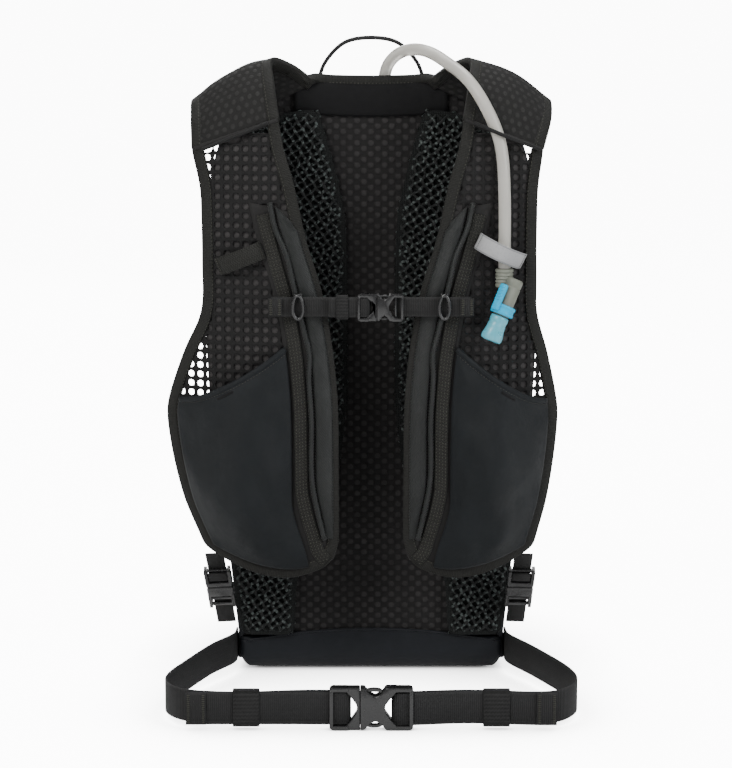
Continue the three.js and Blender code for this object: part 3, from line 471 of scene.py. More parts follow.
class Finish:
    """A material on one glossy-and-diffuse shader, fed by what varies over the surface."""

    def __init__(self, name, slot, colour, roughness, steady=()):
        self.material = bpy.data.materials.new(name)
        self.material.use_nodes = True
        self.tree = self.material.node_tree
        self.shader = self.tree.nodes["Principled BSDF"]
        self.slot = slot
        self.shader.inputs["Specular IOR Level"].default_value = 0.22
        self.shader.inputs["Base Color"].default_value = (*colour, 1)
        self.shader.inputs["Roughness"].default_value = roughness
        for key, value in dict(steady).items():
            self.shader.inputs[key].default_value = value

    def node(self, kind, settings=None, inputs=None):
        node = self.tree.nodes.new(kind)
        for key, value in (settings or {}).items():
            if key == "stops":
                ramp = node.color_ramp
                for index, (place, colour) in enumerate(value):
                    stop = ramp.elements[index] if index < 2 else ramp.elements.new(place)
                    stop.position, stop.color = place, colour
            else:
                setattr(node, key, value)
        for key, value in (inputs or {}).items():
            if isinstance(value, Value):
                self.tree.links.new(value.socket, node.inputs[key])
            else:
                node.inputs[key].default_value = value
        return node

    def place(self):
        """X, Y and Z on the object, in millimetres."""
        source = self.node("ShaderNodeTexCoord").outputs["Object"]
        parts = self.node("ShaderNodeSeparateXYZ", None, {0: Value(self, source)})
        return [Value(self, s) * 1000 for s in parts.outputs]

    def cloth(self):
        """Across and along the cloth, in millimetres."""
        source = self.node("ShaderNodeUVMap", {"uv_map": "weave"}).outputs["UV"]
        parts = self.node("ShaderNodeSeparateXYZ", None, {0: Value(self, source)})
        return [Value(self, s) for s in parts.outputs[:2]]

    def cloud(self, size, detail=3.0, roughness=0.55):
        """Even noise from 0 to 1, its lumps size millimetres across."""
        source = self.node("ShaderNodeTexCoord").outputs["Object"]
        settings = {"noise_dimensions": "3D"}
        values = {"Vector": Value(self, source), "Scale": 1000 / size, "Detail": detail, "Roughness": roughness}
        return Value(self, self.node("ShaderNodeTexNoise", settings, values).outputs["Fac"])

    def blend(self, share, a, b):
        node = self.node("ShaderNodeMix", {"data_type": "RGBA", "clamp_factor": True}, {0: share})
        for index, colour in ((6, a), (7, b)):
            if isinstance(colour, Value):
                self.tree.links.new(colour.socket, node.inputs[index])
            else:
                node.inputs[index].default_value = (*colour, 1)
        return Value(self, node.outputs[2])

    def feed(self, **links):
        """Links base colour, roughness, metallic, alpha or coat, or a height in millimetres as a bump."""
        names = {"colour": "Base Color", "roughness": "Roughness", "metallic": "Metallic", "alpha": "Alpha",
                 "coat": "Coat Weight", "glow": "Emission Color"}
        for key, value in links.items():
            if key == "height":
                bump = self.node("ShaderNodeBump", None, {"Strength": 1.0, "Distance": 0.001, "Height": value})
                self.tree.links.new(bump.outputs[0], self.shader.inputs["Normal"])
            else:
                self.tree.links.new(value.socket, self.shader.inputs[names[key]])
        return self


def shade(colour, factor):
    return tuple(clamp(c * factor) for c in colour)


def plain_weave(across, down, pitch):
    """Threads over and under each other, 0 to 1."""
    turn = math.pi / pitch
    over = (across * turn).wave() * (down * turn).wave()
    return over.size() ** 0.6


def cloth_finish(name, slot, colour, pitch, roughness=0.8, depth=0.12, sheen=0.25, mapped=False, twill=False,
                 tint=0.35, ripstop=0.0):
    """Woven cloth: threads, a soft sheen, uneven dye and a little dust."""
    made = Finish(name, slot, colour, roughness, {"Sheen Weight": sheen * 0.12, "Sheen Roughness": 0.5})
    if mapped:
        a, b = made.cloth()
    else:
        x, y, z = made.place()
        a, b = x + y * 0.35, z + y * 0.2
    if twill:
        turn = 2 * math.pi / pitch
        thread = ((a + b * 0.8) * turn).wave() * 0.5 + 0.5
        thread = thread * (0.75 + 0.25 * ((b - a * 0.3) * (turn * 1.7)).wave())
    else:
        thread = plain_weave(a, b, pitch)
    dye = made.cloud(38, 4).above(0.35, 0.7)
    fuzz = made.cloud(1.3, 2)
    worn = made.cloud(9, 5).above(0.52, 0.75)
    base = made.blend(thread * 0.75 + fuzz * 0.25, shade(colour, 0.62), shade(colour, 1.35))
    base = made.blend(dye * tint, base, shade(colour, 1.7))
    base = made.blend(worn * 0.12, base, shade(colour, 2.6))
    height = thread * depth + made.cloud(14, 2) * 0.5
    if ripstop:
        grid = ((a / ripstop).part() - 0.5).size().math("MAXIMUM", ((b / ripstop).part() - 0.5).size())
        ridge = grid.above(0.44, 0.49)
        height = height + ridge * 0.12
        base = made.blend(ridge * 0.5, base, shade(colour, 1.8))
    return made.feed(colour=base, roughness=roughness - 0.12 * thread + worn * 0.1, height=height)


def webbing_finish(name, colour, rib=1.25, chevron=0.0, roughness=0.72, slot="webbing", edge=None):
    """Ribbed tape: cross ribs, lengthwise warp lines and softly worn high spots."""
    made = Finish(name, slot, colour, roughness, {"Sheen Weight": 0.03, "Sheen Roughness": 0.45})
    a, b = made.cloth()
    lean = (a / 2.4).part() - 0.5 if not chevron else ((a / chevron).part() - 0.5).size() * chevron * 0.9
    ribs = ((b + lean * (0.35 if not chevron else 1.0)) * (2 * math.pi / rib)).wave() * 0.5 + 0.5
    warp = (a * (2 * math.pi / 0.95)).wave() * 0.5 + 0.5
    thread = ribs * 0.65 + warp * 0.35
    fuzz = made.cloud(1.1, 2)
    dye = made.cloud(30, 3).above(0.35, 0.75)
    base = made.blend(thread * 0.8 + fuzz * 0.2, shade(colour, 0.22), shade(colour, 1.75))
    base = made.blend(dye * 0.25, base, shade(colour, 1.6))
    if edge:
        base = made.blend(a.size().above(edge - 1.0, edge - 0.2) * 0.5, base, shade(colour, 1.9))
    return made.feed(colour=base, roughness=roughness - 0.15 * thread, height=thread * 0.34 + fuzz * 0.06)


def floor_finish(sizes):
    """A white table that is seen at full brightness and lights the pack only softly; ambient occlusion dims its glow
    close to the pack, a painted contact shadow.
    """
    made = Finish("Floor", None, tuple(sizes.floor_colour), 0.7, {"Emission Strength": sizes.floor_glow})
    seen = Value(made, made.node("ShaderNodeLightPath").outputs["Is Camera Ray"])
    # painted shadow: ambient occlusion darkens the floor's glow where the pack and belt stand close to it
    near = made.node("ShaderNodeAmbientOcclusion", {"samples": 8}, {"Distance": 0.11})
    painted_contact_shadow = Value(made, near.outputs["AO"]) ** 1.5
    return made.feed(glow=made.blend(seen * painted_contact_shadow, (0, 0, 0), (1, 1, 1)))


def make_finishes(sizes):
    made = {}
    made["pack"] = cloth_finish(
        "Pack cloth", "pack_fabric", (0.0125, 0.0138, 0.0165), 0.8, 0.62, 0.1, 0.3, mapped=True, ripstop=5.5)
    made["base"] = cloth_finish(
        "Base cloth", "base_fabric", (0.0085, 0.0098, 0.0125), 0.7, 0.5, 0.05, 0.15, tint=0.15)
    # near-black finish: the reservoir sleeve's real lining, and painted shade on the neck collar and the pocket slits
    made["lining_and_painted_shade"] = cloth_finish("Lining and painted shade", "pack_fabric", (0.004, 0.004, 0.0045), 0.8, 0.85, 0.05, 0.1)
    made["stretch"] = cloth_finish(
        "Four-way stretch", "stretch_fabric", (0.0032, 0.0048, 0.0062), 0.55, 0.58, 0.06, 0.35, mapped=True,
        twill=True, tint=0.2)
    made["satin"] = cloth_finish(
        "Satin sleeve", "satin_fabric", (0.0135, 0.0148, 0.0144), 1.9, 0.36, 0.22, 0.5, mapped=True, twill=True,
        tint=0.25)
    made["webbing"] = webbing_finish("Webbing", (0.0125, 0.0125, 0.0125), 1.35, edge=6.6)
    made["belt"] = webbing_finish("Belt webbing", (0.0125, 0.0125, 0.0128), 1.5, edge=11.6)
    made["grosgrain"] = webbing_finish("Grosgrain binding", (0.0112, 0.0112, 0.0098), 1.25)
    made["herringbone"] = webbing_finish("Herringbone tape", (0.0135, 0.0135, 0.0118), 2.0, chevron=5.0)
    made["elastic"] = webbing_finish("Elastic keeper", (0.011, 0.011, 0.011), 1.0)
    made["thread"] = Finish("Stitching thread", "webbing", (0.034, 0.034, 0.031), 0.5, {"Sheen Weight": 0.03})
    thread = made["thread"]
    x, y, z = thread.place()
    twist = ((x + z * 1.3 + y) * 9).wave() * 0.5 + 0.5
    thread.feed(colour=thread.blend(twist, (0.03, 0.03, 0.024), (0.062, 0.062, 0.05)), height=twist * 0.08)

    knit = Finish("Wing mesh", "mesh", (0.012, 0.0115, 0.0115), 0.72, {"Sheen Weight": 0.02, "Sheen Roughness": 0.5})
    a, b = knit.cloth()
    loops = (a * (2 * math.pi / 0.7)).wave() * ((b * (2 * math.pi / 0.9)).wave()) * 0.5 + 0.5
    fuzz = knit.cloud(1.2, 3)
    knit.feed(colour=knit.blend(loops * 0.7 + fuzz * 0.3, (0.0035, 0.0034, 0.0034), (0.0105, 0.010, 0.010)),
              roughness=0.8 - loops * 0.2, height=loops * 0.12)
    made["knit"] = knit

    # painted light: a pale knit sheet, lighter than the wing, stands for light seen through the wing's holes
    made["backing"] = cloth_finish(
        "Wing backing knit", "mesh", (0.040, 0.0375, 0.0375), 1.1, 0.8, 0.1, 0.2, tint=0.5)
    made["facing"] = cloth_finish("Wing facing", "mesh", (0.0125, 0.012, 0.0118), 0.9, 0.75, 0.1, 0.25)

    net = Finish("Pad netting", "pad_mesh", (0.020, 0.024, 0.022), 0.38,
                 {"Specular IOR Level": 0.35})
    a, b = net.cloth()
    fibre = ((a * 1.6 + b) * (2 * math.pi / 1.1)).wave() * 0.5 + 0.5
    # painted glints: short bright streaks on the strands, where this mask lifts the colour towards a pale tint
    painted_glint = (net.cloud(2.9, 2) * 0.75 + ((b / 5.6).part() - 0.5).size() * 0.6).above(0.56, 0.66)
    base = net.blend(fibre, (0.0022, 0.0028, 0.0027), (0.0085, 0.0105, 0.010))
    base = net.blend(painted_glint * 0.8, base, (0.085, 0.104, 0.099))
    net.feed(colour=base, roughness=0.52 - painted_glint * 0.22, height=fibre * 0.16 + net.cloud(2.2, 2) * 0.5)
    made["net"] = net

    core = Finish("Pad core", "pad_mesh", (0.006, 0.007, 0.0068), 0.8, {"Sheen Weight": 0.02})
    x, y, z = core.place()
    pile = plain_weave(x, z, 1.4)
    core.feed(colour=core.blend(pile, (0.003, 0.0035, 0.0034), (0.013, 0.015, 0.0145)), height=pile * 0.5)
    made["core"] = core

    made["dimple"] = dimpled("Dimpled back mesh", "mesh", (0.0115, 0.0108, 0.0108), 11.0, 8.8, 2.5, False)
    made["spacer"] = dimpled("Shoulder spacer mesh", "shoulder_mesh", (0.0105, 0.0102, 0.0098), 6.6, 11.0, 1.9, True)

    plastic = Finish("Moulded acetal", "acetal", (0.0085, 0.0085, 0.009), 0.3, {"Specular IOR Level": 0.8})
    grain = plastic.cloud(0.7, 3)
    scuff = plastic.cloud(6, 5, 0.7).above(0.55, 0.72)
    plastic.feed(colour=plastic.blend(scuff * 0.3, (0.0085, 0.0085, 0.009), (0.026, 0.026, 0.027)),
                 roughness=0.2 + grain * 0.1 + scuff * 0.18, height=grain * 0.025)
    made["acetal"] = plastic

    label = Finish("Label tape", "label_fabric", (0.3, 0.3, 0.31), 0.6, {"Sheen Weight": 0.05})
    a, b = label.cloth()
    satin = ((a * 1.1 + b) * (2 * math.pi / 0.55)).wave() * 0.5 + 0.5
    border = a.size().above(5.0, 5.4) * (1 - a.size().above(5.9, 6.2))
    fleck = label.cloud(1.6, 4).above(0.5, 0.7)
    base = label.blend(satin * 0.5 + fleck * 0.3, (0.42, 0.42, 0.425), (0.24, 0.245, 0.255))
    label.feed(colour=label.blend(border * 0.6, base, (0.13, 0.133, 0.14)), height=satin * 0.07)
    made["label"] = label

    tube = Finish("Hose", "hose_tube", (0.80, 0.77, 0.70), 0.24,
                  {"Specular IOR Level": 0.5, "Transmission Weight": 0.5, "IOR": 1.42, "Coat Weight": 0.25,
                   "Coat Roughness": 0.12})
    haze = tube.cloud(22, 3)
    tube.feed(colour=tube.blend(haze, (0.84, 0.82, 0.765), (0.72, 0.70, 0.645)), roughness=0.24 + haze * 0.12,
              height=tube.cloud(30, 2) * 0.2)
    made["hose"] = tube

    made["grey"] = moulded("Valve grey", "valve_grey", (0.150, 0.160, 0.132), (0.215, 0.226, 0.188), 0.42)
    made["blue"] = moulded("Valve blue", "valve_blue", (0.0, 0.36, 0.62), (0.0, 0.45, 0.72), 0.3)
    soft = Finish("Mouthpiece silicone", "silicone", (0.36, 0.76, 0.93), 0.26,
                  {"Specular IOR Level": 0.5, "Transmission Weight": 0.35, "IOR": 1.41, "Coat Weight": 0.3,
                   "Coat Roughness": 0.2})
    haze = soft.cloud(6, 3)
    soft.feed(colour=soft.blend(haze, (0.06, 0.50, 0.66), (0.24, 0.66, 0.76)), roughness=0.22 + haze * 0.15,
              height=soft.cloud(1.5, 2) * 0.06)
    made["silicone"] = soft

    film = Finish("Reservoir film", "film", (0.50, 0.66, 0.74), 0.22, {"Coat Weight": 0.4, "Coat Roughness": 0.1})
    crease = film.cloud(26, 4, 0.6)
    film.feed(colour=film.blend(crease, (0.38, 0.56, 0.66), (0.66, 0.78, 0.83)), roughness=0.16 + crease * 0.16,
              height=crease * 2.2)
    made["film"] = film

    zip_tape = webbing_finish("Zip tape", (0.008, 0.008, 0.0085), 0.8, slot="zip_tape")
    made["zip"] = zip_tape
    made["floor"] = floor_finish(sizes)
    coil = moulded("Zip coil", "zip_tape", (0.010, 0.010, 0.0105), (0.02, 0.02, 0.021), 0.34)
    made["coil"] = coil
    return made


def moulded(name, slot, low, high, roughness):
    """A moulded polymer: a faint flow pattern, fine texture and small scuffs."""
    made = Finish(name, slot, low, roughness)
    flow = made.cloud(7, 4)
    scuff = made.cloud(2.2, 5, 0.7).above(0.58, 0.7)
    return made.feed(colour=made.blend(flow, low, high), roughness=roughness + scuff * 0.2 - flow * 0.08,
                     height=made.cloud(0.8, 2) * 0.02 - scuff * 0.02)


def dimpled(name, slot, colour, pitch_x, pitch_z, radius, mapped):
    """Spacer mesh: staggered dimples in a fine knit."""
    made = Finish(name, slot, colour, 0.7, {"Sheen Weight": 0.02, "Sheen Roughness": 0.5})
    if mapped:
        a, b = made.cloth()
    else:
        a, _, b = made.place()
    row = (b / (pitch_z / 2)).whole()
    across = ((a / pitch_x + row * 0.5).part() - 0.5) * pitch_x
    down = ((b / (pitch_z / 2)).part() - 0.5) * (pitch_z / 2)
    away = (across * across + down * down) ** 0.5
    dot = 1 - away.above(radius * 0.6, radius * 1.25)
    knit = (a * (2 * math.pi / 0.62)).wave() * (b * (2 * math.pi / 0.62)).wave() * 0.5 + 0.5
    patch = made.cloud(34, 3).above(0.3, 0.72)
    base = made.blend(knit, shade(colour, 0.65), shade(colour, 1.3))
    lit = shade(colour, 1.9) if mapped else shade(colour, 2.6)
    base = made.blend(dot * (0.35 + patch * 0.65), base, lit)
    sign = 0.35 if mapped else 0.55
    return made.feed(colour=base, roughness=0.78 - dot * 0.15, height=dot * sign + knit * 0.08)


# ---------------------------------------------------------------- stage

def build_stage(sizes):
    bm = bmesh.new()
    bmesh.ops.create_grid(bm, x_segments=1, y_segments=1, size=90)
    floor = finish_piece("floor", bm, FINISH["floor"], None)
    for name, place, aim, size, power, colour in (
        ("Key light", (-1.3, -2.0, 2.1), (0, 0, 0.28), 1.5, sizes.key_power, (1, 0.99, 0.97)),
        ("Fill light", (1.9, -1.6, 1.3), (0, 0, 0.3), 1.6, sizes.key_power * 0.62, (0.97, 0.985, 1)),
        ("Top light", (0.1, 0.5, 2.6), (0, 0, 0.3), 1.8, sizes.key_power * 0.7, (1, 1, 1)),
        ("Back light", (-0.8, 2.2, 1.4), (0, 0, 0.3), 1.6, sizes.key_power * 0.4, (1, 1, 1)),
    ):
        lamp = bpy.data.lights.new(name, "AREA")
        lamp.shape, lamp.size, lamp.energy, lamp.color = "DISK", size, power, colour
        light = bpy.data.objects.new(name, lamp)
        light.location = place
        light.rotation_euler = (Vector(aim) - Vector(place)).to_track_quat("-Z", "Y").to_euler()
        bpy.context.scene.collection.objects.link(light)
    world = bpy.data.worlds.new("Studio")
    world.use_nodes = True
    world.node_tree.nodes["Background"].inputs["Color"].default_value = (1, 1, 1, 1)
    world.node_tree.nodes["Background"].inputs["Strength"].default_value = sizes.surround
    bpy.context.scene.world = world
    lens = bpy.data.cameras.new("Camera")
    lens.lens, lens.sensor_width, lens.sensor_fit = 118.65, 36, "AUTO"
    camera = bpy.data.objects.new("Camera", lens)
    camera.location = (-0.004, -2.068, 0.5623)
    camera.rotation_euler = (math.radians(90 - 9.255), 0, 0)
    bpy.context.scene.collection.objects.link(camera)
    bpy.context.scene.camera = camera


# ---------------------------------------------------------------- hose and bite valve

HOSE_TABLE = [
    (0.099, -0.086, 1.023), (0.168, 0.04, 1.041), (0.26, 0.184, 1.048), (0.359, 0.342, 1.042),
    (0.45, 0.513, 1.026), (0.542, 0.73, 1.008), (0.618, 0.875, 0.982), (0.683, 0.928, 0.95),
    (0.733, 0.961, 0.919), (0.762, 0.987, 0.883), (0.771, 1.007, 0.844), (0.776, 1.026, 0.802),
    (0.776, 1.034, 0.754), (0.776, 1.042, 0.706)]
HOSE_ROUTE = [at(10, 9.55, 476), at(10, 9.55, 483)] + [
    at(x * HALF, -y * REACH, z * HEIGHT) for x, y, z in HOSE_TABLE]
HOSE_END = HOSE_ROUTE[-1]
VALVE_UP = Vector((0.38, 0.15, 0.91)).normalized()
VALVE_SIDE = Vector((0, 1, 0)).cross(VALVE_UP).normalized()
VALVE_MIDDLE = HOSE_END + Vector((3.4, -5.8, -19.9)) / 1000


def valve_frame():
    forward = VALVE_UP.cross(VALVE_SIDE)
    turn = Matrix((VALVE_SIDE, forward, VALVE_UP)).transposed().to_4x4()
    return Matrix.Translation(VALVE_MIDDLE) @ turn


def turned(outline, sides=40, matrix=None):
    """A solid of revolution about Z, from (radius, height) points in millimetres that start and end on the axis."""
    bm = bmesh.new()
    bm.loops.layers.uv.new("weave")
    verts = [bm.verts.new((r / 1000, 0, z / 1000)) for r, z in outline]
    edges = [bm.edges.new(pair) for pair in zip(verts, verts[1:])]
    bmesh.ops.spin(bm, geom=verts + edges, cent=(0, 0, 0), axis=(0, 0, 1), dvec=(0, 0, 0), angle=2 * math.pi,
                   steps=sides, use_merge=True, use_normal_flip=False)
    bmesh.ops.remove_doubles(bm, verts=bm.verts, dist=1e-6)
    bmesh.ops.recalc_face_normals(bm, faces=bm.faces)
    if matrix:
        bm.transform(matrix)
    return bm


def absorb(bm, other, matrix=None):
    """Adds one bmesh to another."""
    if matrix:
        other.transform(matrix)
    mesh = bpy.data.meshes.new("part")
    other.to_mesh(mesh)
    other.free()
    bm.from_mesh(mesh)
    bpy.data.meshes.remove(mesh)
    return bm


def rounded_block(low, high, edge, matrix=None, segments=3):
    """A block between two corners in millimetres, with rounded edges."""
    bm = bmesh.new()
    bm.loops.layers.uv.new("weave")
    size = [(b - a) / 1000 for a, b in zip(low, high)]
    middle = [(a + b) / 2000 for a, b in zip(low, high)]
    bmesh.ops.create_cube(bm, size=1)
    bmesh.ops.scale(bm, verts=bm.verts, vec=size)
    bmesh.ops.translate(bm, verts=bm.verts, vec=middle)
    bmesh.ops.bevel(bm, geom=list(bm.edges), offset=edge / 1000, segments=segments, profile=0.5, affect="EDGES",
                    clamp_overlap=True, material=-1)
    if matrix:
        bm.transform(matrix)
    return bm


def build_hose(sizes):
    points = route(HOSE_ROUTE, 0.011)
    curve = bpy.data.curves.new("drinking_hose", "CURVE")
    curve.dimensions = "3D"
    curve.bevel_depth = 0.00475
    curve.bevel_resolution = 6
    curve.resolution_u = 4
    curve.use_fill_caps = True
    line = curve.splines.new("NURBS")
    line.points.add(len(points) - 1)
    for spot, point in zip(line.points, points):
        spot.co = (*point, 1)
    line.order_u = 4
    line.use_endpoint_u = True
    hose = bpy.data.objects.new("drinking_hose", curve)
    bpy.context.scene.collection.objects.link(hose)
    curve.materials.append(FINISH["hose"].material)
    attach(hose, "root")
    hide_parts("hose")

    outline = [(0, 0), (6.2, 0), (6.9, -0.7)]
    for i in range(4):
        z = -2.2 - i * 2.6
        outline += [(6.9, z), (6.2, z - 0.5), (6.2, z - 1.1), (6.9, z - 1.7)]
    outline += [(7.0, -13.2), (6.4, -14), (0, -14)]
    body = turned(outline, 36, Matrix.Translation(HOSE_END - Vector((0, 0, 0.0004))))
    cap = [(0, 13), (5.2, 13), (6.4, 12.2), (6.6, 11), (6.6, 7.2), (6.25, 6.8), (6.25, 6.2), (6.6, 5.8), (6.6, -16.2),
           (6.0, -17), (0, -17)]
    absorb(body, turned(cap, 36), valve_frame())
    valve = finish_piece("valve_barrel", body, FINISH["grey"], "bite_valve", ("valve_body",), sharp=50)

    ring_profile = [(7.15, -16.4), (8.3, -16.4), (9.1, -15.7), (9.1, -14.2), (8.7, -13.8), (8.7, -11.2), (9.1, -10.8),
                    (9.1, -9.2), (8.4, -8.5), (7.15, -8.5)]
    ring = bmesh.new()
    ring.loops.layers.uv.new("weave")
    verts = [ring.verts.new((r / 1000, 0, z / 1000)) for r, z in ring_profile]
    edges = [ring.edges.new(pair) for pair in zip(verts, verts[1:] + verts[:1])]
    bmesh.ops.spin(ring, geom=verts + edges, cent=(0, 0, 0), axis=(0, 0, 1), dvec=(0, 0, 0), angle=2 * math.pi,
                   steps=40, use_merge=True, use_normal_flip=False)
    bmesh.ops.recalc_face_normals(ring, faces=ring.faces)
    handle = rounded_block((-3.2, -12.1, -15), (3.2, -8.1, 6), 1.5)
    for i in range(5):
        z = -7 + i * 2.5
        absorb(handle, rounded_block((-2.4, -12.7, z), (2.4, -11.9, z + 1.1), 0.35, segments=2))
    absorb(ring, handle, Matrix.Rotation(math.radians(-42), 4, "Z"))
    ring.transform(valve_frame())
    lever = finish_piece("shut_off_lever", ring, FINISH["blue"], "valve_lever", ("valve_lever",), sharp=50)

    mouth_profile = [(0, -17.4), (6.4, -17.4), (7.1, -18.2), (7.2, -21.4), (6.7, -22.4), (6.7, -24.2), (7.3, -25.4),
                     (7.0, -27.6), (7.7, -30.4), (8.25, -33.4), (8.4, -35.6), (7.9, -37.2), (6.4, -37.9), (0, -37.9)]
    mouth = turned(mouth_profile, 40)
    for vert in mouth.verts:
        share = smoothstep(-vert.co.z * 1000, 24, 37)
        vert.co.y *= 1 - 0.18 * share
    mouth.transform(valve_frame())
    mouthpiece = finish_piece("bite_mouthpiece", mouth, FINISH["silicone"], "bite_valve", ("mouthpiece",), sharp=60)
    smooth(mouthpiece, 1)
    round(length_of(points), 3)


# ---------------------------------------------------------------- bag

ZIP_TURN = math.radians(50)
ZIP_SHOULDER = 0.54 * HEIGHT
ZIP_CROWN = 0.955 * HEIGHT
ZIP_FOOT = 0.2 * HEIGHT


def arch_height(turn):
    share = min(abs(turn) / ZIP_TURN, 1)
    return ZIP_SHOULDER + (ZIP_CROWN - ZIP_SHOULDER) * (1 - share ** 2.6) ** (1 / 2.6)


def zip_route(v):
    if v < 0.28:
        return -ZIP_TURN, lerp(ZIP_FOOT, ZIP_SHOULDER, v / 0.28)
    if v > 0.72:
        return ZIP_TURN, lerp(ZIP_FOOT, ZIP_SHOULDER, (1 - v) / 0.28)
    angle = math.pi * (1 - (v - 0.28) / 0.44)
    turn = ZIP_TURN * math.copysign(abs(math.cos(angle)) ** (2 / 2.6), math.cos(angle))
    return turn, arch_height(turn)


def sag(turn, z):
    """How far loaded cloth stands in or out, in millimetres: broad folds that gather towards the base."""
    spot = Vector((turn * 2.1, z / 90, 3.7))
    broad = noise.noise(spot) * 2.2 + noise.noise(spot * 2.3) * 1.1
    fold = math.sin(turn * 7 + z / 34 + 1.6 * noise.noise(spot * 1.3)) * 0.7 * smoothstep(z, 330, 120)
    return clamp(broad * 0.7 + fold, -2.4, 2.2) * smoothstep(z, 28, 60) * smoothstep(z, 474, 430)


def shell_piece(name, turn_low, turn_high, low, high, across, down, nodes, crowd=1.0):
    def surface(u, v):
        turn = lerp(turn_low, turn_high, u)
        z = lerp(low(turn), high(turn), 1 - (1 - v) ** crowd)
        edge = min(u, 1 - u, v, 1 - v)
        return shell_point(turn, z, -1 + sag(turn, z) * smoothstep(edge, 0, 0.12))
    bm = sheet_mesh(surface, across, down, ((turn_high - turn_low) * 125, max(high(0), 180) - low(0)))
    bmesh.ops.reverse_faces(bm, faces=bm.faces)
    piece = finish_piece(name, bm, FINISH["pack"], "root", nodes)
    return thicken(piece, 2)


